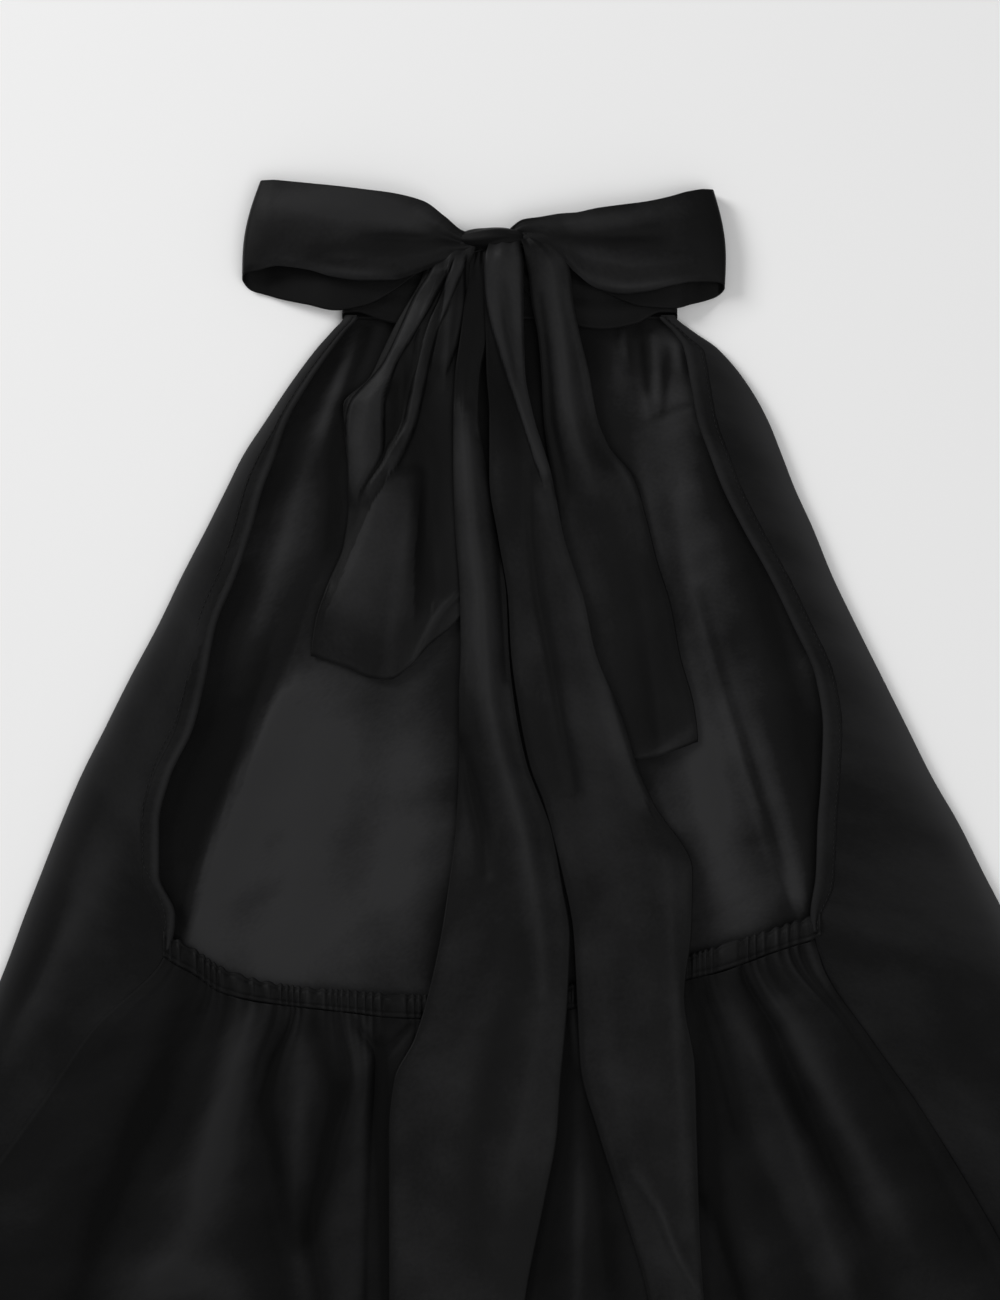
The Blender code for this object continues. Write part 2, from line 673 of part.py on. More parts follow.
def tie_end(name, table, hem, home):
    """One end of a tie: a strip with a soft lengthwise fold and a cut end."""
    along = len(table) - 1

    def place(i, j):
        row = table[along - j]
        t = i / TIE_STEPS
        reach = row.fold if t < row.fold else 1 - row.fold
        off = abs(t - row.fold) / reach
        z = row.z + row.rise * (0.5 + 0.5 * math.cos(math.pi * off))
        near_hem = ease((row.y - table[-3].y) / (table[-1].y - table[-3].y))
        return mix(row.left, row.right, t), row.y + hem[i] * near_hem, z

    material = cloth_material(name + "_cloth", BLACK_TIE, 0.5)
    return sheet(name, TIE_STEPS, along, place, STRAP, material, home)


def build():
    clear_scene()
    home = bpy.data.collections.new("sleeveless_top")
    bpy.context.scene.collection.children.link(home)
    front_panel(home)
    turned_side("front_side_left", False, home)
    turned_side("front_side_right", True, home)
    armhole_band("armhole_band_left", False, home)
    armhole_band("armhole_band_right", True, home)
    back_panel(home)
    elastic_casing(home)
    neckband_front(home)
    neckband_half("neckband_left", NECKBAND_LEFT, BODY[0].left - 1.0, home)
    neckband_half("neckband_right", NECKBAND_RIGHT, BODY[0].right + 1.0, home)
    bow_loop("bow_loop_left", LOOP_LEFT, home)
    bow_loop("bow_loop_right", LOOP_RIGHT, home)
    bow_knot(home)
    tie_end("tie_short_left", SHORT_LEFT, SHORT_LEFT_HEM, home)
    tie_end("tie_short_right", SHORT_RIGHT, SHORT_RIGHT_HEM, home)
    tie_end("tie_long_left", LONG_LEFT, LONG_LEFT_HEM, home)
    tie_end("tie_long_right", LONG_RIGHT, LONG_RIGHT_HEM, home)


build()
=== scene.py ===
"""The black halter top laid flat, dressed over its solids.

Every cloth is a thin shell on the form of its solid, with the seams, gathers
and creases of the real one. Tables are in millimetres: +X to the right as seen
from above, +Y to the neck, +Z up. They become metres as the meshes are placed.
"""

import math
from collections import namedtuple

import bmesh
import bpy
import numpy as np
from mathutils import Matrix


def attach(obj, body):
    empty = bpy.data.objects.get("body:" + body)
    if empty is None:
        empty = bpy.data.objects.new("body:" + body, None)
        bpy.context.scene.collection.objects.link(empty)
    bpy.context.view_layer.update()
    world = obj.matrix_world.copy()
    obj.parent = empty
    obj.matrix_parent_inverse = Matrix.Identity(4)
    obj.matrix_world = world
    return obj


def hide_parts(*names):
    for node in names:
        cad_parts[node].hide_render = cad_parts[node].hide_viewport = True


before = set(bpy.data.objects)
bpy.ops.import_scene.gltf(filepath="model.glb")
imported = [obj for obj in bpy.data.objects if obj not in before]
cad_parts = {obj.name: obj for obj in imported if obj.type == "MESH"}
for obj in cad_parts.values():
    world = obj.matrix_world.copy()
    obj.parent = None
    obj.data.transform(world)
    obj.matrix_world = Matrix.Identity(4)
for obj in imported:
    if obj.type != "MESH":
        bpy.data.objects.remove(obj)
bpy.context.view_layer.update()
bpy.ops.object.select_all(action="DESELECT")

MM = 0.001
CLOTH = 0.7          # wall of a single cloth
STRAP = 0.9          # wall of a doubled tie
FRONT_Z = 0.4        # middle of the front panel's wall
BACK_Z = 7.4         # middle of the back layer's wall
FOLD_REACH = 7.0     # how far in the side folds reach

Body = namedtuple("Body", "y left inner_left inner_right right")
BODY = (
    Body(305, -87, -80, 90, 98),
    Body(296, -94, -87, 98, 108),
    Body(287, -102, -94, 104, 121),
    Body(267, -117, -108, 108, 138),
    Body(246, -131, -120, 112, 150),
    Body(226, -144, -127, 119, 158),
    Body(208, -153, -134, 126, 165),
    Body(186, -164, -140, 137, 175),
    Body(159, -178, -149, 152, 186),
    Body(132, -191, -160, 165, 199),
    Body(102, -207, -166, 178, 214),
    Body(74, -221, -173, 182, 228),
    Body(46, -235, -186, 181, 242),
    Body(20, -246, -192, 179, 257),
    Body(-8, -257, -192, 178, 271),
    Body(-31, -266, -183, 175, 283),
    Body(-58, -276, -188, 180, 297),
    Body(-100, -293, -230, 207, 317),
    Body(-137, -307, -256, 234, 334),
    Body(-178, -323, -286, 260, 351),
    Body(-225, -342, -317, 287, 370),
    Body(-275, -361, -342, 313, 391),
    Body(-325, -381, -364, 338, 411),
    Body(-376, -401, -384, 362, 431),
)
ARMHOLE_LOW = -31    # where the armholes end at the casing
HEM_SAG = 8.0        # the hem hangs this much lower at the middle

# The casing: its upper and lower edge at x, from left to right.
Casing = namedtuple("Casing", "x top bottom")
CASING = (
    Casing(-189, -40, -54), Casing(-182, -44, -58), Casing(-171, -50, -64), Casing(-156, -60, -74),
    Casing(-136, -67, -79), Casing(-113, -71, -82), Casing(-86, -73, -85),
    Casing(-60, -75, -88), Casing(-30, -76, -89), Casing(0, -76, -88),
    Casing(40, -70, -83), Casing(72, -63, -76), Casing(103, -54, -67),
    Casing(121, -49, -63), Casing(136, -44, -58), Casing(152, -39, -52),
    Casing(164, -35, -48), Casing(174, -32, -45), Casing(180, -30, -42),
)

# Valleys between the pleats of the back: x at each share of the way down to
# the hem, and the rise of the pleat to the right of each, at top and hem.
Valley = namedtuple("Valley", "name x rise_top rise_hem")
DOWN = (0.0, 0.12, 0.25, 0.40, 0.55, 1.0)
VALLEYS = (
    Valley("seam_left", (-187, -229, -256, -290, -321, -383), 1.4, 1.8),
    Valley("broad_left", (-156, -163, -175, -202, -237, -300), 4.6, 3.0),
    Valley("bent_left", (-117, -129, -137, -131, -123, -140), 3.6, 2.6),
    Valley("short_left", (-90, -84, -95, -104, -99, -104), 4.2, 3.0),
    Valley("slit_left", (-66, -68, -69, -70, -71, -74), 1.5, 1.6),
    Valley("under_left_tie", (-34, -36, -36, -34, -32, -36), 1.4, 1.8),
    Valley("middle", (0, 0, 4, 6, 8, 10), 1.4, 1.8),
    Valley("between_ties", (36, 40, 46, 51, 56, 64), 1.4, 1.8),
    Valley("under_right_tie", (80, 88, 98, 112, 129, 160), 1.7, 2.6),
    Valley("slit_right", (112, 123, 135, 150, 168, 212), 4.4, 3.0),
    Valley("long_right", (136, 155, 173, 192, 208, 262), 4.2, 2.8),
    Valley("by_seam_right", (160, 188, 217, 245, 274, 336), 0.9, 1.4),
    Valley("seam_right", (180, 207, 234, 263, 291, 361), 0.0, 0.0),
)
VALLEY_Z = BACK_Z + 0.2

# Turned-over halves of the neckband, from the side fold to under the knot.
Half = namedtuple("Half", "x low top")
NECK_LEFT = (
    Half(-80, 306.5, 334), Half(-66, 302, 334), Half(-50, 299, 335),
    Half(-32, 301, 339), Half(-16, 312, 345), Half(3.6, 326, 350),
)
NECK_RIGHT = (
    Half(90, 306.5, 334), Half(76, 300, 334), Half(58, 297, 335),
    Half(38, 300, 339), Half(22, 311, 345), Half(4.4, 326, 350),
)
NECK_FOLD = 6.0      # how far in the neckband's side folds reach
NECK_FRONT_Z = 0.5   # middle of the front neckband's wall
NECK_STEPS = 8       # steps of the grid round half of a side fold
NECK_FLAT_STEPS = 60

# Each loop of the bow, from the knot out on its under layer, round the turn
# and back on its upper layer: lower edge, upper edge, height of the wall.
Loop = namedtuple("Loop", "x_low y_low x_top y_top z")
LOOP_LEFT = (
    Loop(-7, 341, -7, 348, 13.4),
    Loop(-17.5, 337, -17.5, 349, 13.4), Loop(-32, 333, -31, 358, 11.8),
    Loop(-47, 327, -42, 366, 10.6), Loop(-60, 318, -58, 370, 10.2),
    Loop(-76, 310, -76, 373, 10.0), Loop(-92, 307.5, -90, 375, 8.9),
    Loop(-108, 311, -104, 376, 5.8), Loop(-122, 314, -116, 378, 3.0),
    Loop(-132, 317, -125, 379, 1.4), Loop(-140, 319.5, -131, 380, 2.0),
    Loop(-144, 325, -134, 379.5, 5.4), Loop(-143, 328, -133, 380, 9.2),
    Loop(-136, 329.5, -127, 380, 11.6), Loop(-124, 332, -117, 379, 13.2),
    Loop(-108, 330, -104, 377.5, 14.8), Loop(-92, 325.5, -91, 376, 16.4),
    Loop(-76, 323.5, -76, 374, 17.8), Loop(-60, 323.5, -58, 371.5, 18.6),
    Loop(-47, 327, -42, 367, 18.8), Loop(-32, 333.5, -31, 359, 18.2),
    Loop(-19, 338, -18.5, 350.5, 16.6), Loop(-7, 341, -7, 350, 15.0),
)
LOOP_RIGHT = (
    Loop(7, 342, 7, 349, 13.4),
    Loop(25.5, 338, 25.5, 351, 13.4), Loop(36, 333, 37, 358, 11.8),
    Loop(50, 323, 50, 362, 10.6), Loop(64, 315, 64, 364.5, 10.2),
    Loop(80, 309.5, 80, 366.5, 10.0), Loop(97, 308.5, 96, 369, 9.5),
    Loop(107, 311, 105, 371.5, 6.9), Loop(116, 313.5, 112, 373, 3.6),
    Loop(122, 316, 117, 374.5, 2.2), Loop(125.5, 320, 119.5, 374, 5.6),
    Loop(125, 322, 118.5, 375, 9.0), Loop(119, 323, 114, 375, 11.2),
    Loop(108, 323, 105, 373.5, 13.2), Loop(96, 321, 95, 370.5, 15.0),
    Loop(82, 317.5, 82, 367.5, 16.8), Loop(68, 316, 68, 365.5, 18.0),
    Loop(54, 319, 54, 363.5, 18.7), Loop(42, 328, 42, 361, 18.5),
    Loop(34, 336, 34, 360.5, 17.8), Loop(24, 339, 24, 359, 17.2),
    Loop(14, 342, 13, 357.5, 16.4), Loop(6, 343, 5, 351.5, 15.0),
)
LOOP_TURN = 11       # row of both tables at the outermost point of the turn
LOOP_BULGE = 2.0

KNOT_CENTRE = (-4.5, 347.0, 15.4)
KNOT_HALF = (19.0, 6.6, 7.0)

# Ends of the ties: edges, height of the wall, where across the width the main
# lengthwise fold runs, and its rise.
Tie = namedtuple("Tie", "y left right z fold rise")
SHORT_LEFT = (
    Tie(348, -23, -12, 16.0, 0.5, 0.0), Tie(341, -33, -14, 17.0, 0.5, 0.8),
    Tie(331, -41, -17, 16.0, 0.5, 1.2), Tie(322, -45, -17.5, 14.0, 0.5, 1.2),
    Tie(312, -51, -18.5, 11.0, 0.4, 1.2), Tie(300, -58, -20, 10.2, 0.35, 2.0),
    Tie(284, -66, -22, 7.8, 0.3, 3.0), Tie(270, -73, -22, 5.8, 0.3, 3.6),
    Tie(255, -88, -22, 4.8, 0.32, 4.0), Tie(240, -87, -22, 4.4, 0.3, 4.2),
    Tie(220, -85, -21, 4.2, 0.28, 4.0), Tie(198, -85, -21, 4.2, 0.3, 3.6),
    Tie(176, -88, -20, 4.2, 0.34, 3.2), Tie(156, -96, -19, 4.2, 0.38, 2.8),
    Tie(132, -104, -18, 4.0, 0.42, 2.2), Tie(114, -106, -18, 3.8, 0.45, 1.6),
)
SHORT_LEFT_HEM = (0, -3, -7, -12, -13, -6, 6, 15, 24)
SHORT_RIGHT = (
    Tie(350, 10, 20, 16.0, 0.5, 0.0), Tie(344, 12.5, 28, 18.4, 0.5, 0.8),
    Tie(336, 14, 37, 17.8, 0.5, 1.4), Tie(326, 16, 39.5, 15.2, 0.5, 1.6),
    Tie(312, 17.5, 41, 12.4, 0.5, 1.6), Tie(294, 21, 44.5, 9.8, 0.5, 2.0),
    Tie(272, 23, 50, 6.6, 0.5, 3.0), Tie(250, 24, 54, 4.8, 0.5, 3.6),
    Tie(232, 26, 61, 4.2, 0.5, 3.8), Tie(214, 29, 75, 4.0, 0.55, 3.4),
    Tie(192, 31, 82, 3.9, 0.6, 3.0), Tie(168, 34, 88, 3.9, 0.65, 2.6),
    Tie(142, 40, 96, 3.9, 0.68, 2.2), Tie(115, 46, 101, 3.9, 0.7, 2.0),
    Tie(84, 58, 109, 3.9, 0.7, 1.8), Tie(64, 66, 111, 3.8, 0.7, 1.4),
)
SHORT_RIGHT_HEM = (-10, -9, -8, -7, -6, -4, -2, 0, 2)
LONG_LEFT = (
    Tie(346, -15, -7, 15.0, 0.5, 0.0), Tie(330, -18, -6, 14.2, 0.5, 0.0),
    Tie(312, -20, -6, 12.6, 0.5, 0.0), Tie(294, -22, -7, 11.2, 0.5, 0.2),
    Tie(272, -25, -11, 9.8, 0.5, 0.8),
    Tie(249, -26, -12, 8.2, 0.5, 1.6), Tie(220, -26, -8, 7.4, 0.5, 2.6),
    Tie(187, -25, -3, 7.2, 0.5, 3.0), Tie(150, -22.5, 3.5, 7.2, 0.45, 3.4),
    Tie(118, -22, 5, 7.0, 0.45, 3.6), Tie(92, -23, 7.5, 6.4, 0.45, 3.6),
    Tie(56, -23, 14.5, 5.8, 0.5, 3.8), Tie(16, -25, 29, 6.2, 0.6, 3.8),
    Tie(-16, -29, 35, 8.4, 0.65, 3.4), Tie(-42, -33, 39, 11.2, 0.68, 3.0),
    Tie(-74, -40, 38, 11.6, 0.7, 2.8), Tie(-100, -48, 36, 11.6, 0.7, 2.6),
    Tie(-122, -59, 34, 11.6, 0.68, 2.4), Tie(-152, -62, 32, 11.6, 0.66, 2.2),
    Tie(-190, -62, 25, 11.6, 0.64, 2.2), Tie(-246, -62, 14, 11.6, 0.62, 2.2),
    Tie(-322, -62, 6, 11.6, 0.6, 2.0),
)
LONG_RIGHT = (
    Tie(350, -4, 8, 15.6, 0.5, 0.0), Tie(344, -6, 10.5, 19.0, 0.5, 0.8),
    Tie(336, -8, 12.5, 19.6, 0.5, 1.6), Tie(326, -8.6, 13, 17.4, 0.5, 2.0),
    Tie(312, -8.5, 12.8, 15.2, 0.5, 2.0), Tie(294, -8, 13, 13.2, 0.55, 2.2),
    Tie(272, -7.5, 14, 10.8, 0.6, 3.0),
    Tie(250, -6, 18, 9.0, 0.65, 3.0), Tie(214, -6, 29, 7.4, 0.7, 3.0),
    Tie(180, -1, 36, 7.2, 0.75, 2.6), Tie(146, 4.5, 47, 7.2, 0.76, 2.4),
    Tie(118, 6, 53, 7.2, 0.78, 2.4), Tie(78, 11.5, 69, 7.0, 0.78, 2.6),
    Tie(52, 17, 77, 6.4, 0.76, 2.6), Tie(32, 24.5, 86, 5.6, 0.74, 2.8),
    Tie(-6, 34.5, 108, 7.4, 0.7, 2.8), Tie(-40, 41, 107, 11.0, 0.66, 2.8),
    Tie(-76, 43, 103, 11.8, 0.62, 2.8), Tie(-115, 45, 109, 11.8, 0.6, 2.8),
    Tie(-152, 55, 110, 11.8, 0.56, 2.6), Tie(-190, 67, 111, 11.8, 0.52, 2.6),
    Tie(-246, 83, 114, 11.8, 0.5, 2.4), Tie(-322, 92, 128, 11.8, 0.5, 2.0),
)
STRAIGHT_HEM = (0, 0, 0, 0, 0, 0, 0, 0, 0)

# Folds that lie on a tie as a flat roll between two edges: how far they rise,
# how soft their edges are, and both edges.
Fold = namedtuple("Fold", "name rise soft left right")
FADE_LOW = 14.0      # a fold fades out over this length at its lower end
FADE_HIGH = 8.0      # and over this length at its upper end
SPEAR = Fold("spear", 2.6, 2.2,
             ((-8.6, 346), (-8.4, 331), (-7.3, 313.6), (0.6, 282), (11.2, 250), (19, 226), (25, 205)),
             ((10, 346), (12.3, 331), (12.9, 292), (17.9, 261), (23.5, 234), (29.7, 214), (33, 200)))
LOBE = Fold("lobe", 2.6, 2.6,
            ((-36, 336), (-47.6, 313.6), (-64.4, 278), (-84.6, 252.6),
             (-86, 240), (-85.7, 217), (-86, 196)),
            ((-27, 336), (-38, 312), (-47.6, 295), (-58.8, 276.6),
             (-65.5, 252), (-65.5, 232), (-80, 200)))
STRIP = Fold("strip", 1.8, 1.4,
             ((-25, 338), (-32, 318), (-41, 296), (-46.5, 274), (-53.5, 246), (-66, 220), (-76, 204)),
             ((-19, 338), (-26, 318), (-35, 296), (-41, 272), (-47, 246), (-57, 222), (-69, 204)))
HANGING = Fold("hanging", 1.4, 12.0,
               ((-62, 222), (-76, 190), (-88, 160), (-99, 130)),
               ((-44, 222), (-46, 190), (-48, 160), (-48, 130)))
INNER = Fold("inner", 1.8, 2.0,
             ((-29, 340), (-31, 314), (-36, 290), (-40, 268)),
             ((-20, 340), (-20, 314), (-24, 290), (-31, 268)))

# Soft creases, given one by one: how far each rises, or falls where it is below 0,
# how wide it is to the left and to the right of its line, and the line.
Crease = namedtuple("Crease", "name rise wide_left wide_right line")
FRONT_CREASES = (
    Crease("long_right", 2.0, 5, 10, (
           (101, 204), (106, 166), (115, 132), (125, 98), (134, 63), (141, 38), (151, 8), (165, -21))),
    Crease("gather_right_1", 1.4, 2.5, 2.5, ((69, 298), (71, 278))),
    Crease("gather_right_2", 1.6, 2.5, 3, ((87, 293), (88, 277), (88, 258))),
    Crease("gather_right_3", 1.2, 2.5, 2.5, ((99, 292), (101, 273))),
    Crease("gather_right_4", 1.0, 2.5, 2.5, ((78, 296), (80, 269), (84, 241))),
    Crease("oblique_right", 1.6, 3, 4, ((88, 246), (101, 251), (115, 256))),
    Crease("soft_right", 1.1, 7, 7, ((78, 235), (84, 202), (91, 160))),
    Crease("low_right_1", 1.2, 9, 9, ((112, 62), (120, 17), (129, -25))),
    Crease("low_right_2", -0.6, 8, 8, ((148, 95), (161, 45), (169, -11))),
    Crease("shadow_step_left", 1.8, 3, 16, (
           (-121, 93), (-132, 72), (-139, 58), (-148, 42), (-161, 10), (-171, -20), (-175, -42))),
    Crease("light_left_1", 1.3, 18, 18, ((-92, 90), (-100, 45), (-109, 0), (-118, -53))),
    Crease("light_left_2", 1.0, 16, 14, ((-52, 90), (-49, 34), (-53, -22), (-52, -70))),
    Crease("upper_left_1", 1.2, 5, 6, ((-100, 246), (-110, 213), (-119, 179), (-130, 146), (-146, 95))),
    Crease("upper_left_2", 1.2, 4, 4, ((-84, 286), (-93, 258), (-101, 230))),
    Crease("hollow_left", -0.3, 8, 8, ((-151, 78), (-162, 39), (-174, 0))),
)
SIDE_CREASES = (
    Crease("left_line", 0.9, 5, 8, ((-112, 246), (-133, 202), (-152, 160), (-174, 115), (-196, 70))),
    Crease("left_low", 1.3, 4, 12, ((-231, -27), (-249, -54), (-259, -79), (-281, -110), (-314, -162))),
    Crease("right_line", 0.8, 8, 6, ((141, 249), (165, 193), (193, 132), (220, 73), (246, 22))),
    Crease("right_low", 0.9, 10, 14, ((196, -22), (224, -70), (258, -129), (302, -213))),
)
BACK_CREASES = (
    Crease("y_left", -2.4, 2.5, 2.5, ((-80, -92), (-73, -102), (-67, -110))),
    Crease("y_right", -2.4, 2.5, 2.5, ((-50, -93), (-58, -102), (-66, -110))),
    Crease("slit_left", -3.2, 4, 5, ((-67, -110), (-68, -140), (-69, -190), (-71, -246), (-72, -314))),
    Crease("light_by_seam", 1.0, 10, 10, ((-179, -70), (-204, -112), (-230, -151), (-258, -196))),
    Crease("ridge_left", 1.5, 8, 10, ((-133, -91), (-146, -123), (-154, -162), (-168, -199), (-188, -241))),
    Crease("ridge_left_2", 1.2, 5, 5, (
           (-102, -90), (-105, -120), (-114, -157), (-116, -190), (-112, -241))),
    Crease("low_left", 1.2, 9, 9, ((-213, -241), (-185, -228), (-160, -241))),
    Crease("ridge_right_1", 1.3, 4, 6, ((124, -76), (140, -104), (160, -146), (180, -204), (196, -246))),
    Crease("ridge_right_2", 1.5, 6, 7, ((164, -104), (184, -134), (202, -166), (218, -206))),
    Crease("wedge_right", -1.6, 4, 6, ((112, -193), (120, -213), (130, -246), (146, -291))),
    Crease("slit_right", -2.0, 3, 3, ((113, -76), (123, -104), (134, -151))),
)
SHORT_LEFT_CREASES = (
    Crease("strap_light", 2.0, 6, 9, (
           (-25, 332), (-42, 314), (-56, 288), (-72, 258), (-77, 232), (-74, 207))),
    Crease("strap_edge", 1.6, 2, 6, (
           (-39, 314), (-45, 293), (-48, 260), (-51, 243), (-60, 231), (-73, 208))),
    Crease("hollow_mid", -2.2, 6, 4, ((-55, 279), (-55, 255), (-57, 235))),
    Crease("hollow_outer", -2.4, 3, 4, ((-93, 235), (-90, 202), (-92, 176), (-96, 156))),
    Crease("recess", -2.6, 9, 5, ((-42, 235), (-39, 190), (-38, 146))),
    Crease("inner_strip", 1.6, 3, 3, ((-25, 328), (-29, 297), (-32, 263))),
    Crease("lower_light", 1.4, 8, 12, ((-67, 202), (-76, 168), (-87, 134), (-92, 118))),
    Crease("lower_fold", 0.9, 4, 6, ((-50, 202), (-56, 162), (-64, 123), (-68, 105))),
    Crease("end_fold", 1.2, 3, 5, ((-24, 146), (-39, 123), (-52, 111))),
)
SHORT_RIGHT_CREASES = (
    Crease("ridge_start", 2.0, 5, 6, ((28, 332), (34, 297), (37, 263), (42, 235), (50, 207))),
    Crease("edge_right", 1.2, 3, 5, ((38, 319), (46, 288), (52, 260), (63, 232), (78, 202))),
    Crease("trough_start", -1.5, 3, 3, ((23, 314), (27, 280), (29, 246), (39, 202))),
    Crease("broad", 1.4, 8, 10, ((67, 213), (78, 174), (87, 134), (94, 95))),
    Crease("low_end", 0.9, 4, 4, ((78, 146), (85, 101), (92, 62))),
)
LONG_LEFT_CREASES = (
    Crease("light_fold", 2.6, 7, 6, (
           (-21, 249), (-18, 218), (-16, 185), (-10, 146), (-8, 118), (-6, 90),
           (0, 62), (7, 39), (13, 17), (18, -11), (22, -39), (24, -73))),
    Crease("dark_wedge", -3.0, 5, 5, ((-21, 64), (-15, 39), (-10, 17), (-8, -6))),
    Crease("dark_line", -2.0, 3, 3, ((-11, 235), (-4, 202), (0, 168), (2, 134), (4, 101))),
    Crease("lower_1", 0.7, 9, 10, ((0, -56), (-11, -90), (-24, -123), (-34, -162), (-39, -246))),
    Crease("lower_2", 0.6, 6, 6, ((31, -39), (25, -84), (17, -123), (7, -168), (0, -218))),
    Crease("lower_trough", -0.6, 6, 8, ((11, -22), (3, -67), (-7, -112), (-16, -162), (-18, -218))),
)
LONG_RIGHT_CREASES = (
    Crease("spear_left", 1.8, 3, 5, ((-6, 335), (-6, 314), (0, 291), (7, 266), (16, 241), (26, 216))),
    Crease("spear_right", 1.6, 5, 2.5, ((9, 335), (11, 308), (13, 278), (17, 250), (26, 218))),
    Crease("spear_hollow", -1.2, 3, 3, ((2, 319), (4, 297), (9, 269))),
    Crease("edge_lit", 2.2, 8, 2.5, (
           (31, 202), (37, 179), (43, 164), (48, 143), (53, 120), (59, 101), (65, 78), (73, 53), (81, 34))),
    Crease("dark_line", -2.2, 4, 4, ((17, 218), (18, 179), (22, 146), (29, 112), (35, 78), (42, 39))),
    Crease("body_light", 0.5, 9, 9, ((34, 90), (45, 50), (59, 6), (73, -39), (78, -84))),
    Crease("low_ridge", 0.5, 6, 6, ((56, -56), (58, -106), (66, -146), (78, -185), (91, -224))),
    Crease("hem_line", 1.4, 2.5, 4, ((74, -174), (88, -193), (98, -218), (110, -240))),
    Crease("low_edge", 1.2, 5, 5, ((95, 0), (96, -45), (99, -101), (102, -151), (106, -207))),
)
LOOP_LEFT_CREASES = (
    Crease("satin", 1.8, 10, 12, ((-126, 367), (-95, 366), (-64, 362), (-39, 352))),
    Crease("fold_mid", -1.1, 2.5, 3, ((-76, 347), (-56, 347), (-36, 346))),
    Crease("fold_low", 1.0, 3, 5, ((-21, 342), (-39, 338), (-62, 335), (-95, 335))),
    Crease("fan_1", 0.9, 2.5, 3, ((-19, 346), (-31, 354), (-45, 362))),
    Crease("fan_2", -0.8, 2.5, 3, ((-21, 344), (-35, 348), (-35, 353))),
    Crease("low_curl", 1.0, 4, 3, ((-136, 330), (-118, 333), (-90, 327), (-62, 324))),
)
LOOP_RIGHT_CREASES = (
    Crease("fan_1", 1.0, 3, 4, ((29, 352), (50, 355), (84, 362))),
    Crease("fan_2", -0.8, 3, 3, ((29, 348), (56, 347), (90, 348))),
    Crease("fan_3", 1.0, 3, 5, ((30, 345), (48, 337), (73, 332), (106, 335))),
    Crease("low_curl", 1.0, 4, 3, ((34, 335), (50, 320), (78, 319), (112, 324))),
)

# Painted light and painted shade on the black, in the same form as the creases: lit marks where light falls
# on the cloth, deep marks for shade in hollows, under the bow and beside the ties.
FRONT_PAINTED_SHADING = (
    Crease("lit_left", 0.9, 2, 85, ((-118, 112), (-140, 46), (-158, 0), (-178, -62))),
    Crease("lit_left_low", 0.5, 30, 30, ((-60, 40), (-80, -30), (-100, -80))),
    Crease("deep_left", -1.0, 22, 3, ((-132, 112), (-150, 56), (-166, 10), (-184, -50))),
    Crease("soft_left", 0.35, 14, 14, ((-106, 190), (-124, 150), (-140, 122))),
    Crease("lit_top", 0.7, 12, 14, ((92, 300), (98, 268), (100, 245))),
    Crease("lit_top_2", 0.5, 5, 5, ((64, 292), (67, 268))),
    Crease("lit_middle", 0.8, 20, 18, ((92, 250), (104, 210), (118, 170))),
    Crease("lit_low", 0.9, 22, 16, ((98, 120), (112, 70), (128, 10), (140, -50))),
    Crease("lit_by_edge", 0.9, 7, 8, ((144, 70), (158, 22), (166, -22), (172, -50))),
    Crease("deep_line", -0.9, 3, 4, ((112, 150), (124, 104), (142, 48), (156, 0), (164, -40))),
    Crease("deep_by_edge", -0.9, 12, 5, ((112, 235), (134, 190), (152, 140), (166, 90), (176, 40))),
    Crease("deep_edge_low", -0.9, 6, 4, ((176, 80), (180, 30), (178, -20), (172, -50))),
    Crease("deep_slit", -1.0, 6, 8, ((-89, 252), (-93, 222), (-94, 190), (-95, 165))),
    Crease("light_shoulder", 0.7, 5, 5, ((-78, 302), (-87, 274), (-100, 241))),
    Crease("light_shoulder_2", 0.5, 4, 4, ((-66, 304), (-72, 286), (-80, 268))),
    Crease("deep_shoulder", -0.8, 4, 4, ((-71, 302), (-79, 280), (-90, 255))),
    Crease("deep_oblique", -0.8, 3, 4, ((84, 246), (98, 252), (114, 257))),
    Crease("deep_gather_1", -0.8, 2.5, 2.5, ((79, 300), (80, 280), (82, 262))),
    Crease("deep_gather_2", -0.7, 2.5, 2.5, ((94, 286), (93, 268), (91, 250))),
    Crease("deep_under_bow", -0.7, 60, 60, ((-60, 306), (0, 302), (50, 306))),
    Crease("deep_middle", -0.9, 20, 20, ((0, 260), (0, 120), (0, -60))),
)
SIDE_PAINTED_SHADING = (
    Crease("left_light", 0.35, 14, 14, ((-180, 92), (-214, 20), (-260, -70))),
    Crease("right_light", 0.3, 16, 16, ((180, 150), (214, 60), (262, -40))),
    Crease("deep_low_left", -0.9, 8, 7, (
           (-228, 35), (-240, 5), (-249, -23), (-258, -50), (-276, -88), (-300, -140))),
    Crease("light_low_left", 0.35, 5, 8, ((-222, 0), (-236, -28), (-252, -62), (-276, -110))),
)
SHORT_LEFT_PAINTED_SHADING = (
    Crease("deep_recess", -0.7, 10, 9, ((-42, 262), (-38, 235), (-37, 190), (-36, 160))),
    Crease("deep_outer", -0.9, 8, 5, ((-92, 240), (-93, 205), (-94, 175), (-98, 150))),
)
SHORT_RIGHT_PAINTED_SHADING = (
    Crease("deep_end", -0.9, 18, 12, ((80, 165), (88, 130), (90, 98), (88, 72))),
    Crease("light_hem", 0.7, 5, 5, ((72, 62), (90, 66), (108, 72))),
    Crease("light_top", 0.3, 8, 8, ((26, 330), (32, 290), (40, 250))),
)
LONG_LEFT_PAINTED_SHADING = (
    Crease("deep_top", -0.9, 12, 12, ((-12, 350), (-13, 318), (-14, 285), (-14, 262))),
    Crease("light_strap", 0.25, 12, 12, ((-18, 235), (-15, 180), (-10, 120), (0, 70))),
)
LONG_RIGHT_PAINTED_SHADING = (
    Crease("deep_by_spear", -0.8, 10, 5, ((-4, 285), (3, 260), (9, 230), (14, 195))),
    Crease("light_low", 0.2, 14, 14, ((40, 100), (56, 30), (70, -50))),
)
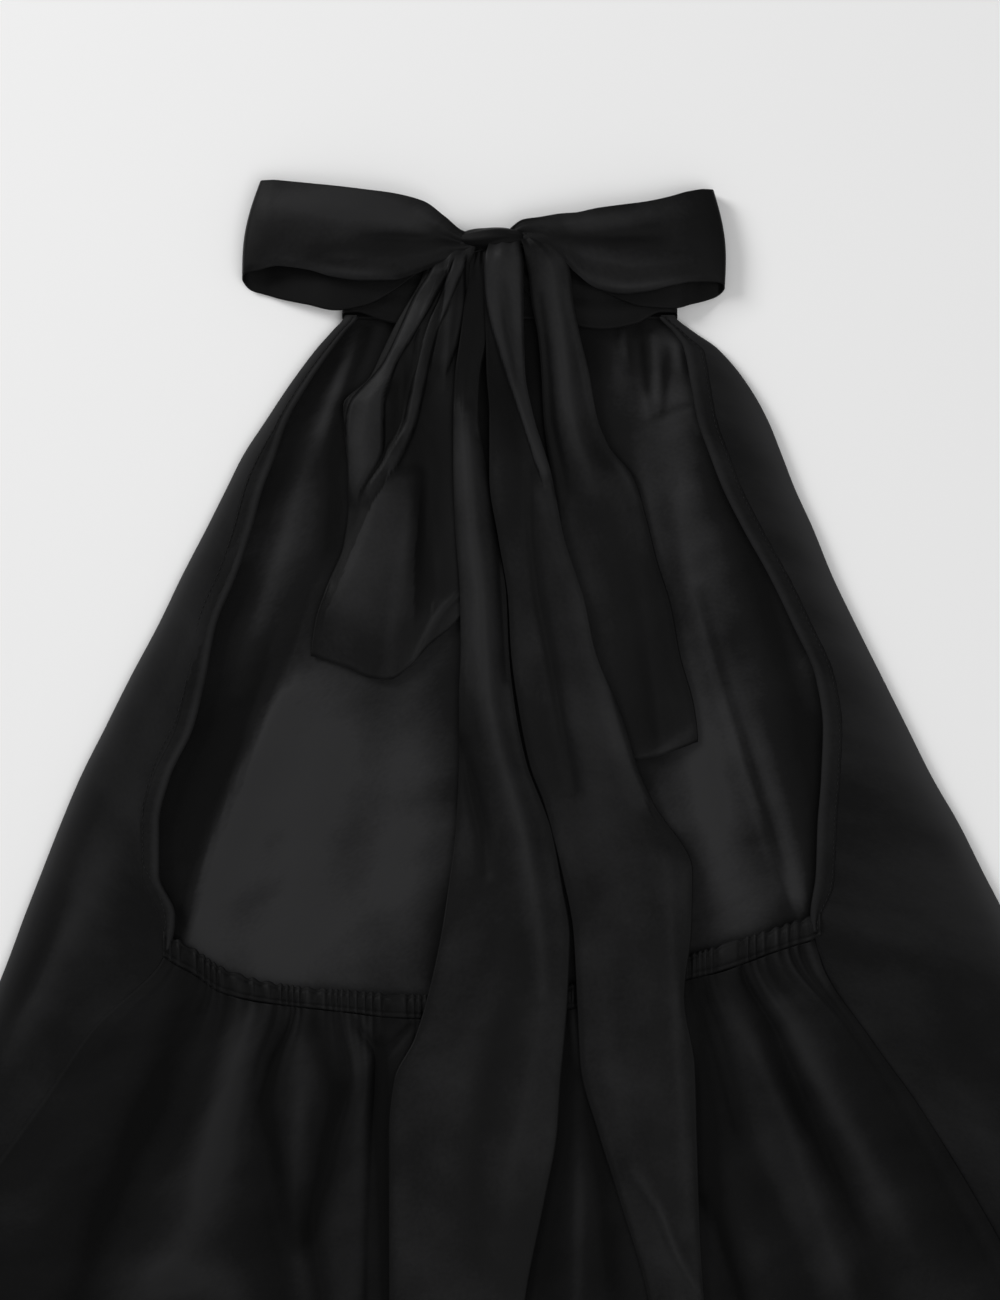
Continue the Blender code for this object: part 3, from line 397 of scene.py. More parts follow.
LOOP_LEFT_PAINTED_SHADING = (
    # A painted satin highlight along the upper layer of the loop.
    Crease("satin", 0.9, 9, 12, ((-128, 366), (-98, 367), (-70, 364), (-46, 357))),
    Crease("deep_low", -0.6, 7, 9, ((-100, 338), (-78, 342), (-50, 343), (-30, 345))),
    Crease("light_low_edge", 0.4, 3, 3, ((-134, 328), (-100, 329), (-60, 326))),
)
LOOP_RIGHT_PAINTED_SHADING = (
    Crease("deep_fan", -0.5, 5, 6, ((30, 347), (56, 346), (88, 347))),
    Crease("light_fan", 0.4, 6, 6, ((44, 355), (70, 358), (104, 366))),
    Crease("light_low_edge", 0.5, 3, 3, ((44, 326), (70, 320), (112, 323))),
)
BACK_PAINTED_SHADING = (
    Crease("deep_by_seam", -0.8, 9, 9, ((-172, -66), (-194, -130), (-226, -209), (-240, -256))),
    Crease("light_left", 0.45, 9, 12, ((-146, -86), (-157, -140), (-168, -196), (-184, -230))),
    Crease("light_low_left", 0.5, 12, 9, ((-214, -262), (-190, -235), (-160, -232), (-136, -262))),
    Crease("deep_valley_2", -0.9, 6, 6, ((-124, -92), (-131, -134), (-124, -170), (-114, -215))),
    Crease("light_between", 0.3, 4, 4, ((-112, -100), (-112, -140), (-110, -176))),
    Crease("deep_valley_3", -0.9, 6, 6, ((-104, -90), (-90, -136), (-98, -176), (-108, -212))),
    Crease("light_pleat", 0.4, 5, 5, ((-80, -100), (-77, -160), (-80, -240))),
    Crease("deep_slit_left", -1.0, 3.5, 3, ((-67, -100), (-65, -180), (-63, -250), (-62, -330))),
    Crease("deep_middle", -0.9, 9, 12, ((36, -80), (34, -150), (28, -210), (24, -260))),
    Crease("light_middle", 0.7, 4, 4, ((43, -125), (44, -180), (43, -260))),
    Crease("deep_middle_right", -0.8, 4, 9, ((50, -120), (55, -170), (64, -250))),
    Crease("light_right", 0.45, 7, 8, ((126, -96), (140, -140), (164, -200))),
    Crease("light_right_2", 0.4, 6, 6, ((158, -80), (178, -120), (206, -170), (230, -215))),
    Crease("deep_right_2", -0.7, 5, 5, ((145, -92), (160, -126), (184, -170), (204, -210))),
    Crease("deep_slit_right", -0.9, 4, 7, ((110, -70), (113, -130), (120, -190), (136, -250))),
)


def curve(stations, values):
    """A smooth curve through the values, with no overshoot, as a function."""
    s = np.asarray(stations, float)
    v = np.asarray(values, float)
    if s[0] > s[-1]:
        s, v = s[::-1], v[::-1]
    width = np.diff(s)
    slope = np.diff(v) / width
    tangent = np.zeros_like(v)
    same = slope[:-1] * slope[1:] > 0
    tangent[1:-1][same] = (2 * slope[:-1] * slope[1:])[same] / (slope[:-1] + slope[1:])[same]

    def read(at):
        at = np.clip(at, s[0], s[-1])
        k = np.clip(np.searchsorted(s, at) - 1, 0, len(width) - 1)
        t = (at - s[k]) / width[k]
        ease_in = t * t * (3 - 2 * t)
        swing = t * (1 - t) * ((1 - t) * tangent[k] - t * tangent[k + 1]) * width[k]
        return v[k] + (v[k + 1] - v[k]) * ease_in + swing

    return read


def column(table, name):
    return [getattr(row, name) for row in table]


def mix(a, b, t):
    return a + (b - a) * t


def ease(t):
    return 0.5 - 0.5 * np.cos(np.pi * np.clip(t, 0, 1))


def crease_rise(creases, x, y):
    """How far the creases lift the cloth at each point."""
    rise = np.zeros(np.broadcast(x, y).shape)
    for crease in creases:
        line = np.array(crease.line, float)
        steps = np.hypot(*np.diff(line, axis=0).T)
        total = steps.sum()
        run = 0.0
        nearest = np.full(rise.shape, 1e9)
        side = np.zeros(rise.shape)
        along = np.zeros(rise.shape)
        for (ax, ay), (bx, by), length in zip(line[:-1], line[1:], steps):
            dx, dy = (bx - ax) / length, (by - ay) / length
            t = np.clip((x - ax) * dx + (y - ay) * dy, 0, length)
            px, py = x - ax - t * dx, y - ay - t * dy
            gap = np.hypot(px, py)
            closer = gap < nearest
            nearest = np.where(closer, gap, nearest)
            side = np.where(closer, np.sign(dx * py - dy * px), side)
            along = np.where(closer, (run + t) / total, along)
            run += length
        # A line that runs down the page has its left hand on the page's right.
        down = line[-1, 1] < line[0, 1]
        on_left = (side < 0) if down else (side > 0)
        wide = np.where(on_left, crease.wide_left, crease.wide_right)
        fade = np.sin(np.pi * np.clip(0.12 + 0.76 * along, 0, 1)) ** 0.7
        rise += crease.rise * fade * np.exp(-(nearest / wide) ** 2)
    return rise


def fold_edges(fold, y):
    """Both edges of a fold at y, and how far it has faded out at its ends."""
    left = curve([p[1] for p in fold.left], [p[0] for p in fold.left])(y)
    right = curve([p[1] for p in fold.right], [p[0] for p in fold.right])(y)
    low, high = fold.left[-1][1], fold.left[0][1]
    return left, right, ease((y - low) / FADE_LOW) * ease((high - y) / FADE_HIGH)


def fold_rise(fold, x, y):
    """The roll of a fold between its two edges."""
    left, right, ends = fold_edges(fold, y)
    return ends * ease((x - left) / fold.soft + 0.5) * ease((right - x) / fold.soft + 0.5)


def fold_shade(fold, x, y):
    """Painted light on the roll, and painted shade in the hollows just outside its edges."""
    left, right, ends = fold_edges(fold, y)
    outside = np.exp(-np.clip(left - x, 0, None) / 5) * (x < left)
    outside += np.exp(-np.clip(x - right, 0, None) / 5) * (x > right)
    return ends * (0.25 * ((x >= left) & (x <= right)) - 0.9 * outside)


def crease_shading(creases, x, y):
    """Painted light on the ridges of creases, and painted shade in their troughs."""
    return np.clip(0.26 * crease_rise(creases, x, y), -0.9, 0.7)


def painted_shading(marks, x, y):
    """Painted light and shade at each point, from the marks of a shading table."""
    return np.clip(crease_rise(marks, x, y), -1, 1)


def ripple(x, y, size, height, seed):
    """Slight unevenness of soft cloth: a few slow waves in fixed directions."""
    rng = np.random.default_rng(seed)
    total = np.zeros(np.broadcast(x, y).shape)
    for _ in range(7):
        turn = rng.uniform(0, math.pi)
        length = size * rng.uniform(0.6, 1.8)
        phase = rng.uniform(0, 2 * math.pi)
        total += np.sin((x * math.cos(turn) + y * math.sin(turn)) * 2 * math.pi / length + phase)
    return height * total / 7


def cloth(name, points, wall, materials, thin=None, tone=None):
    """A thin shell of cloth through a grid of points, rows by columns.

    The second material, if there is one, is on the reverse side. Where thin is
    1 the cloth takes a painted light colour, and tone is painted light and shade.
    """
    rows, cols = points.shape[:2]
    bm = bmesh.new()
    bmesh.ops.create_grid(bm, x_segments=cols - 1, y_segments=rows - 1, size=0.5)
    mesh = bpy.data.meshes.new(name)
    bm.to_mesh(mesh)
    bm.free()
    flat = np.empty(len(mesh.vertices) * 3)
    mesh.vertices.foreach_get("co", flat)
    flat = flat.reshape(-1, 3)
    i = np.rint((flat[:, 0] + 0.5) * (cols - 1)).astype(int)
    j = np.rint((flat[:, 1] + 0.5) * (rows - 1)).astype(int)
    mesh.vertices.foreach_set("co", (points[j, i] * MM).astype(np.float32).ravel())
    step_u = np.linalg.norm(np.diff(points, axis=1), axis=2)
    step_v = np.linalg.norm(np.diff(points, axis=0), axis=2)
    u = np.concatenate([np.zeros((rows, 1)), np.cumsum(step_u, axis=1)], axis=1) * MM
    v = np.concatenate([np.zeros((1, cols)), np.cumsum(step_v, axis=0)], axis=0) * MM
    layer = mesh.uv_layers.new(name="cloth")
    corner = np.empty(len(mesh.loops), int)
    mesh.loops.foreach_get("vertex_index", corner)
    uv = np.stack([u[j, i][corner], v[j, i][corner]], axis=1)
    layer.data.foreach_set("uv", uv.astype(np.float32).ravel())
    for attribute, values in (("thin", thin), ("tone", tone)):
        values = np.zeros((rows, cols)) if values is None else values
        layer = mesh.attributes.new(attribute, "FLOAT", "POINT")
        layer.data.foreach_set("value", values[j, i].astype(np.float32))
    mesh.polygons.foreach_set("use_smooth", [True] * len(mesh.polygons))
    for material in materials:
        mesh.materials.append(material)
    made = bpy.data.objects.new(name, mesh)
    bpy.context.scene.collection.objects.link(made)
    shell = made.modifiers.new("wall", "SOLIDIFY")
    shell.thickness = wall * MM
    shell.offset = 0.0
    shell.use_even_offset = False
    if len(materials) > 1:
        shell.material_offset = 1
    bpy.context.view_layer.objects.active = made
    for modifier in [m.name for m in made.modifiers]:
        bpy.ops.object.modifier_apply(modifier=modifier)
    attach(made, "root")
    return made


# Materials.

def weave_group():
    """Threads of a fine crepe: a normal for the surface and a mask of its tone."""
    group = bpy.data.node_groups.new("crepe_weave", "ShaderNodeTree")
    face = group.interface
    face.new_socket("Vector", in_out="INPUT", socket_type="NodeSocketVector")
    face.new_socket("Strength", in_out="INPUT", socket_type="NodeSocketFloat")
    face.new_socket("Normal", in_out="OUTPUT", socket_type="NodeSocketVector")
    face.new_socket("Tone", in_out="OUTPUT", socket_type="NodeSocketFloat")
    nodes, links = group.nodes, group.links
    start = nodes.new("NodeGroupInput")
    end = nodes.new("NodeGroupOutput")
    waves = []
    for way in ("X", "Y"):
        wave = nodes.new("ShaderNodeTexWave")
        wave.bands_direction = way
        wave.inputs["Scale"].default_value = 560.0
        wave.inputs["Distortion"].default_value = 1.4
        wave.inputs["Detail"].default_value = 1.0
        links.new(start.outputs["Vector"], wave.inputs["Vector"])
        waves.append(wave)
    cross = nodes.new("ShaderNodeMath")
    cross.operation = "MAXIMUM"
    links.new(waves[0].outputs["Fac"], cross.inputs[0])
    links.new(waves[1].outputs["Fac"], cross.inputs[1])
    slub = nodes.new("ShaderNodeTexNoise")
    slub.inputs["Scale"].default_value = 420.0
    slub.inputs["Detail"].default_value = 3.0
    links.new(start.outputs["Vector"], slub.inputs["Vector"])
    height = nodes.new("ShaderNodeMath")
    height.operation = "MULTIPLY_ADD"
    height.inputs[1].default_value = 0.6
    links.new(cross.outputs[0], height.inputs[0])
    links.new(slub.outputs["Fac"], height.inputs[2])
    bump = nodes.new("ShaderNodeBump")
    bump.inputs["Distance"].default_value = 0.00012
    links.new(start.outputs["Strength"], bump.inputs["Strength"])
    links.new(height.outputs[0], bump.inputs["Height"])
    links.new(bump.outputs["Normal"], end.inputs["Normal"])
    patch = nodes.new("ShaderNodeTexNoise")
    patch.inputs["Scale"].default_value = 14.0
    patch.inputs["Detail"].default_value = 4.0
    links.new(start.outputs["Vector"], patch.inputs["Vector"])
    tone = nodes.new("ShaderNodeMath")
    tone.operation = "MULTIPLY_ADD"
    tone.inputs[1].default_value = 0.22
    links.new(slub.outputs["Fac"], tone.inputs[0])
    links.new(patch.outputs["Fac"], tone.inputs[2])
    links.new(tone.outputs[0], end.inputs["Tone"])
    return group


WEAVE = weave_group()


def grey(value):
    return (value, value, value * 1.03, 1.0)


def cloth_material(name, deep, black, lit, edge_light, roughness, sheen, specular, bump=0.5):
    """Black cloth: a crepe weave, a soft sheen, and a painted light colour where thin is set.

    Its tone is painted shade and light: it runs from deep, painted shade in the
    hollows, over black to lit, painted light on ridges and open cloth.
    """
    made = bpy.data.materials.new(name)
    made.use_nodes = True
    nodes, links = made.node_tree.nodes, made.node_tree.links
    shader = nodes["Principled BSDF"]
    uv = nodes.new("ShaderNodeUVMap")
    uv.uv_map = "cloth"
    weave = nodes.new("ShaderNodeGroup")
    weave.node_tree = WEAVE
    weave.inputs["Strength"].default_value = bump
    links.new(uv.outputs["UV"], weave.inputs["Vector"])
    # The tone attribute is painted light and shade: it runs the base colour from deep to lit.
    tone = nodes.new("ShaderNodeAttribute")
    tone.attribute_name = "tone"
    shift = nodes.new("ShaderNodeMath")
    shift.operation = "MULTIPLY_ADD"
    shift.inputs[1].default_value = 0.5
    links.new(tone.outputs["Fac"], shift.inputs[0])
    links.new(weave.outputs["Tone"], shift.inputs[2])
    ramp = nodes.new("ShaderNodeValToRGB")
    ramp.color_ramp.elements[0].position = 0.15
    ramp.color_ramp.elements[0].color = grey(deep)
    ramp.color_ramp.elements[1].position = 1.0
    ramp.color_ramp.elements[1].color = grey(lit)
    middle = ramp.color_ramp.elements.new(0.55)
    middle.color = grey(black)
    links.new(shift.outputs[0], ramp.inputs["Fac"])
    # Where thin is set, the base colour becomes the painted light colour of the side folds.
    thin = nodes.new("ShaderNodeAttribute")
    thin.attribute_name = "thin"
    blend = nodes.new("ShaderNodeMix")
    blend.data_type = "RGBA"
    blend.inputs["B"].default_value = grey(edge_light)
    links.new(thin.outputs["Fac"], blend.inputs["Factor"])
    links.new(ramp.outputs["Color"], blend.inputs["A"])
    links.new(blend.outputs["Result"], shader.inputs["Base Color"])
    links.new(weave.outputs["Normal"], shader.inputs["Normal"])
    shader.inputs["Roughness"].default_value = roughness
    shader.inputs["Specular IOR Level"].default_value = specular
    shader.inputs["Sheen Weight"].default_value = sheen
    shader.inputs["Sheen Roughness"].default_value = 0.5
    shader.inputs["Sheen Tint"].default_value = (0.8, 0.8, 0.82, 1.0)
    return made


# The deep and lit ends of each ramp are its painted shade and painted light, and the fourth colour is the
# painted light of the side folds; the inside's lit end is the lightest, for the painted light on the open
# front.
OUTSIDE = cloth_material("crepe_outside", 0.0009, 0.0040, 0.012, 0.045, 0.60, 0.02, 0.05)
INSIDE = cloth_material("crepe_inside", 0.0010, 0.0046, 0.021, 0.045, 0.55, 0.02, 0.06)
TIE = cloth_material("tie_satin", 0.0008, 0.0036, 0.015, 0.04, 0.46, 0.02, 0.07)
BANDED = cloth_material("band_crepe", 0.0012, 0.0045, 0.016, 0.045, 0.55, 0.02, 0.07)
THREAD = cloth_material("thread", 0.0030, 0.0060, 0.012, 0.04, 0.45, 0.03, 0.12)

# The body: one cloth from the left armhole round the front to the right one.

body_y = column(BODY, "y")
edge_left = curve(body_y, column(BODY, "left"))
edge_right = curve(body_y, column(BODY, "right"))
inner_left = curve(body_y, column(BODY, "inner_left"))
inner_right = curve(body_y, column(BODY, "inner_right"))
HEM_Y, NECK_Y = body_y[-1], body_y[0]


def sag(x, y):
    """The hem's lower middle, fading out up the body."""
    share = (x - edge_left(y)) / (edge_right(y) - edge_left(y))
    down = ease((ARMHOLE_LOW - y) / (ARMHOLE_LOW - HEM_Y))
    return y - HEM_SAG * down * np.sin(np.pi * np.clip(share, 0, 1))


def reach(outer, inner):
    return np.minimum(FOLD_REACH, 0.55 * np.abs(inner - outer))


LOW_ROWS = 42        # rows of the body's grid where the back panel hides it
HIGH_ROWS = 178      # rows above them, up to the neck
EDGE_LIGHT_REACH = 7.5    # how far in from a side fold the painted edge light reaches
# Painted light along the side folds, for their sheen and the light through the thin cloth; stronger on the
# right.
edge_light_left = curve((-376, -60, 20, 120, 220, 305), (0.45, 0.5, 0.6, 0.6, 0.5, 0.25))
edge_light_right = curve((-376, -60, 20, 120, 240, 305), (0.6, 0.9, 0.95, 0.9, 0.7, 0.3))


def body_cloth():
    hem_rows = [HEM_Y, HEM_Y + 1.2, HEM_Y + 2.4]
    low_rows = np.linspace(HEM_Y + 7, -96, LOW_ROWS)
    high_rows = np.linspace(-93.8, NECK_Y, HIGH_ROWS)
    y = np.concatenate([hem_rows, low_rows, high_rows])
    left, right = edge_left(y), edge_right(y)
    in_left, in_right = inner_left(y), inner_right(y)
    reach_left, reach_right = reach(left, in_left), reach(right, in_right)
    middle, half = (BACK_Z + FRONT_Z) / 2, (BACK_Z - FRONT_Z) / 2
    side_steps, fold_steps, front_steps = 24, 12, 148
    xs, zs, thin, over = [], [], [], []

    def add(x, z, edge_light, upper):
        xs.append(x)
        zs.append(z + 0 * y)
        thin.append(edge_light + 0 * y)
        over.append(upper + 0 * y)

    # Painted edge light: lighter near each side fold, fading inwards.
    for k in range(side_steps):
        t = k / side_steps
        x = mix(in_left, left + reach_left, t)
        add(x, BACK_Z, edge_light_left(y) * np.exp(-(x - left) / EDGE_LIGHT_REACH), 1.0)
    for k in range(fold_steps + 1):
        turn = math.pi * k / fold_steps
        inset = reach_left * (1 - math.sin(turn))
        add(left + inset, middle + half * math.cos(turn), edge_light_left(y) * np.exp(-inset / EDGE_LIGHT_REACH),
            1.0 if k < fold_steps / 2 else 0.0)
    for k in range(1, front_steps):
        t = k / front_steps
        add(mix(left + reach_left, right - reach_right, t), FRONT_Z, 0.0, 0.0)
    for k in range(fold_steps + 1):
        turn = math.pi * k / fold_steps
        inset = reach_right * (1 - math.sin(turn))
        add(right - inset, middle - half * math.cos(turn), edge_light_right(y) * np.exp(-inset / EDGE_LIGHT_REACH),
            1.0 if k > fold_steps / 2 else 0.0)
    for k in range(1, side_steps + 1):
        t = k / side_steps
        x = mix(right - reach_right, in_right, t)
        add(x, BACK_Z, edge_light_right(y) * np.exp(-(right - x) / EDGE_LIGHT_REACH), 1.0)
    x = np.stack(xs, axis=1)
    z = np.stack(zs, axis=1)
    edge_light = np.stack(thin, axis=1)
    upper = np.stack(over, axis=1)
    yy = np.repeat(y[:, None], x.shape[1], axis=1)
    warped = sag(x, yy)
    inside = np.clip((np.minimum(x - left[:, None], right[:, None] - x) - 9) / 8, 0, 1)
    front = 1.25 * crease_rise(FRONT_CREASES, x, yy) + ripple(x, yy, 44, 0.4, 3) + 0.3
    side = crease_rise(SIDE_CREASES, x, yy) + ripple(x, yy, 60, 0.3, 5)
    z += (1 - upper) * inside * np.maximum(front, 0)
    z += upper * np.clip((np.minimum(x - left[:, None], right[:, None] - x) - 4) / 8, 0, 1) * side
    points = np.stack([x, warped, z], axis=2)
    # Painted light and shade: the marks of the shading tables, lighter on raised folds and darker in their
    # hollows.
    tone = (1 - upper) * (painted_shading(FRONT_PAINTED_SHADING, x, yy) + 0.28 * (front - 0.5) - 0.1)
    tone += upper * (painted_shading(SIDE_PAINTED_SHADING, x, yy) + 0.2 * side)
    made = cloth("body_cloth", points, CLOTH, [INSIDE, OUTSIDE], thin=edge_light, tone=tone)
    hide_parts("front_panel", "front_side_left", "front_side_right")
    return made


STITCH_SHARE = 0.84  # the stitches run this far across an armhole band
STITCH_LIFT = 1.0    # how high they lie over the middle of the back layer


def armhole_band(name, right):
    """The turned edge of an armhole: a small roll with a flat band beside it."""
    y = np.linspace(-40 if right else -50, NECK_Y - 1, 260)
    outer, inner = (edge_right(y), inner_right(y)) if right else (edge_left(y), inner_left(y))
    way = 1 if right else -1
    width = np.minimum(9.5, 0.85 * (np.abs(outer - inner) - reach(outer, inner)))
    width = width * (0.25 + 0.75 * ease((y - y[0]) / 26))
    # Across the band: how far out, in millimetres where it is in the roll and as
    # a share of the width beyond it, and the height over the cloth.
    section = (
        (1.6, 0.0, -0.75), (0.5, 0.0, -0.95), (-0.5, 0.0, -0.8), (-1.1, 0.0, -0.2),
        (-1.2, 0.0, 0.5), (-0.7, 0.0, 1.2), (0.3, 0.0, 1.55), (1.3, 0.0, 1.4),
        (2.0, 0.10, 1.0), (1.0, 0.35, 0.80), (0.5, 0.60, 0.72), (0.3, 0.78, 0.66),
        (0.2, STITCH_SHARE, 0.50), (0.1, 0.90, 0.62), (0.0, 1.0, 0.18),
    )
    pucker = 0.07 * np.sin(y * 2 * math.pi / 9.7) + 0.05 * np.sin(y * 2 * math.pi / 4.1 + 1)
    columns = []
    for out, share, lift in section:
        x = inner + way * (out * np.minimum(1, width / 4) + share * width)
        columns.append(np.stack([x, y, BACK_Z + lift + pucker * (share > 0.05)], axis=1))
    points = np.stack(columns, axis=1)
    # The roll is lit, and the line of stitches lies in its own small shadow.
    tone_at = {0.0: 0.6, 0.10: 0.25, STITCH_SHARE: -0.25}
    tone = np.tile([tone_at.get(share, 0.0) for out, share, lift in section], (len(y), 1))
    if right:
        points, tone = points[:, ::-1], tone[:, ::-1]
    made = cloth(name, points, 0.35, [OUTSIDE], tone=tone)
    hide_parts(name.replace("_edge", ""))
    return made, inner + way * STITCH_SHARE * width, y


def shirring(x):
    """Uneven count of the gathers along the elastic, 4 to 7 mm each."""
    return x / 5.2 + 0.8 * np.sin(x / 15.0) + 0.45 * np.sin(x / 6.1 + 1.0) + 0.3 * np.sin(x / 3.7)


def casing_cloth():
    stations = column(CASING, "x")
    top = curve(stations, column(CASING, "top"))
    bottom = curve(stations, column(CASING, "bottom"))
    x = np.linspace(CASING[0].x, CASING[-1].x, 760)
    phase = shirring(x)
    shirr = np.sin(2 * np.pi * phase)
    shirr2 = np.sin(2 * np.pi * (phase * 1.9 + 0.3))
    across = 18
    points = np.zeros((across + 1, len(x), 3))
    for k in range(across + 1):
        t = k / across
        crown = np.sin(np.pi * t) ** 0.6
        edge = 1 - np.sin(np.pi * t)
        seam = -0.55 * np.exp(-((t - 0.2) / 0.06) ** 2) - 0.45 * np.exp(-((t - 0.86) / 0.05) ** 2)
        y = mix(bottom(x), top(x), t) + (0.8 * shirr * edge if t > 0.5 else 0.0)
        z = BACK_Z - 0.1 + 1.3 * crown + (0.45 * shirr + 0.25 * shirr2) * (0.35 + 0.65 * crown) + seam
        points[k, :, 0] = x + 0.5 * np.cos(2 * np.pi * phase) * crown
        points[k, :, 1] = y
        points[k, :, 2] = z
    # Painted shade: the casing is kept darker, darker still in the valleys of the gathers and lighter on
    # their crests, and darker at and beside the long left tie's edge.
    tone = -0.45 + 0.35 * np.tile(shirr, (across + 1, 1))
    tone -= 0.5 * np.exp(-((x - 42) / 14) ** 2)
    made = cloth("casing_cloth", points, CLOTH, [BANDED], tone=tone)
    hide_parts("elastic_casing")
    return made


def back_cloth():
    steps = 24
    spans = len(VALLEYS) - 1
    cols = spans * steps + 1
    down = (np.linspace(0, 1, 150) ** 1.25)[::-1]
    lines = [curve(DOWN, v.x)(down) for v in VALLEYS]
    seam_y_left = mix(-60.0, HEM_Y, down)
    seam_y_right = mix(-46.0, HEM_Y, down)
    lines[0] = inner_left(seam_y_left) + 0.5
    lines[-1] = inner_right(seam_y_right) - 0.5
    bottom = curve(column(CASING, "x"), column(CASING, "bottom"))
    points = np.zeros((len(down), cols, 3))
    for c in range(cols):
        k = min(c // steps, spans - 1)
        t = c / steps - k
        x = mix(lines[k], lines[k + 1], t)
        top_x = x[-1]
        top_y = float(bottom(np.array([top_x]))[0]) - 0.4
        hem_x = x[0]
        low = float(sag(np.array([hem_x]), np.array([float(HEM_Y)]))[0])
        y = mix(top_y, low, down)
        lean = 0.75 + 0.5 * ((k * 7) % 5) / 4
        shape = np.sin(np.pi * t ** lean) ** 1.4
        rise = mix(VALLEYS[k].rise_top, VALLEYS[k].rise_hem, down) * shape
        points[:, c, 0] = x
        points[:, c, 1] = y
        points[:, c, 2] = VALLEY_Z + rise * (0.35 + 0.65 * ease(down / 0.12))
    x, y = points[:, :, 0], points[:, :, 1]
    below = np.repeat((down * (80 + 300))[:, None], cols, axis=1)
    seam_x = points[-1, :, 0][None, :]
    phase = shirring(seam_x)
    uneven = 0.7 + 0.5 * np.sin(seam_x / 9.0 + 2) * np.sin(seam_x / 23.0)
    fine = np.sin(2 * np.pi * phase) * 0.9 * np.exp(-below / (12 + 9 * uneven))
    long = np.sin(2 * np.pi * phase * 0.37 + 1) * 1.0 * np.exp(-below / 44) * (1 - np.exp(-below / 8))
    gathers = (fine + long) * uneven
    points[:, :, 2] += gathers
    points[:, :, 2] += np.maximum(crease_rise(BACK_CREASES, x, y), -3.0) + ripple(x, y, 90, 0.35, 8)
    lowest = VALLEY_Z - 0.6
    points[:, :, 2] = np.maximum(points[:, :, 2], lowest)
    # Painted shade: darker where the cloth lies low and in the gathers' valleys, lighter on pleat crests,
    # with the back's shading table.
    height = points[:, :, 2] - VALLEY_Z
    tone = 0.16 * (height - 2.6) + painted_shading(BACK_PAINTED_SHADING, x, y) + 0.30 * gathers
    made = cloth("back_cloth", points, CLOTH, [OUTSIDE], tone=tone)
    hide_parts("back_panel")
    return made


def neckband_front():
    first, last = BODY[0].left - 1.0, BODY[0].right + 1.0
    middle, half = (BACK_Z + NECK_FRONT_Z) / 2, (BACK_Z - NECK_FRONT_Z) / 2
    xs, zs = [], []
    for k in range(NECK_STEPS):
        turn = math.pi / 2 * k / NECK_STEPS
        xs.append(first + NECK_FOLD * (1 - math.cos(turn)))
        zs.append(middle - half * math.sin(turn))
    for k in range(NECK_FLAT_STEPS + 1):
        xs.append(mix(first + NECK_FOLD, last - NECK_FOLD, k / NECK_FLAT_STEPS))
        zs.append(middle - half)
    for k in range(NECK_STEPS):
        turn = math.pi / 2 * (NECK_STEPS - 1 - k) / NECK_STEPS
        xs.append(last - NECK_FOLD * (1 - math.cos(turn)))
        zs.append(middle - half * math.sin(turn))
    x, z = np.array(xs), np.array(zs)
    t = np.linspace(0, 1, 20)[:, None]
    y = mix(303.2, 334.0, t) + 0 * x
    lower_edge = 0.9 * (1 - ease(t / 0.15))
    crown = 0.25 * np.sin(np.pi * t)
    gathers = 0.15 * np.abs(np.sin(x / 2.1)) * np.exp(-t * 6)
    z = z + lower_edge + crown + gathers
    points = np.stack([x + 0 * t, y, z], axis=2)
    made = cloth("neckband_front_cloth", points, STRAP, [TIE], tone=-0.6 + 0 * z)
    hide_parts("neckband_front")
    return made


def neckband_half(name, table, outer):
    way = 1 if outer < 0 else -1
    turns = [math.pi / 2 * k / NECK_STEPS for k in range(NECK_STEPS)]
    xs = [outer + way * NECK_FOLD * (1 - math.cos(turn)) for turn in turns]
    middle, half = (BACK_Z + NECK_FRONT_Z) / 2, (BACK_Z - NECK_FRONT_Z) / 2
    zs = [middle + half * math.sin(turn) for turn in turns]
    first = outer + way * NECK_FOLD
    flat = np.linspace(first, table[-1].x, NECK_FLAT_STEPS)
    xs = np.array(xs + list(flat))
    zs = np.array(zs + [BACK_Z] * NECK_FLAT_STEPS)
    stations = column(table, "x")
    low, top = curve(stations, column(table, "low"))(xs), curve(stations, column(table, "top"))(xs)
    t = np.linspace(0, 1, 22)[:, None]
    share = np.clip(np.abs(xs - first) / abs(table[-1].x - first), 0, 1)
    pleats = 0.35 * np.cos(2 * np.pi * (t * 3.0 + 0.2)) * share ** 0.7
    points = np.stack([xs + 0 * t, mix(low, top, t), zs - 0.35 * share + pleats], axis=2)
    if way < 0:
        points = points[:, ::-1]
    # Painted shade: the band is kept darker, a little lighter on the crests of its pleats and darker in
    # their hollows.
    tone = -0.55 + 0.3 * pleats + 0 * points[:, :, 2]
    made = cloth(name + "_cloth", points, STRAP, [TIE], tone=tone)
    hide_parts(name)
    return made


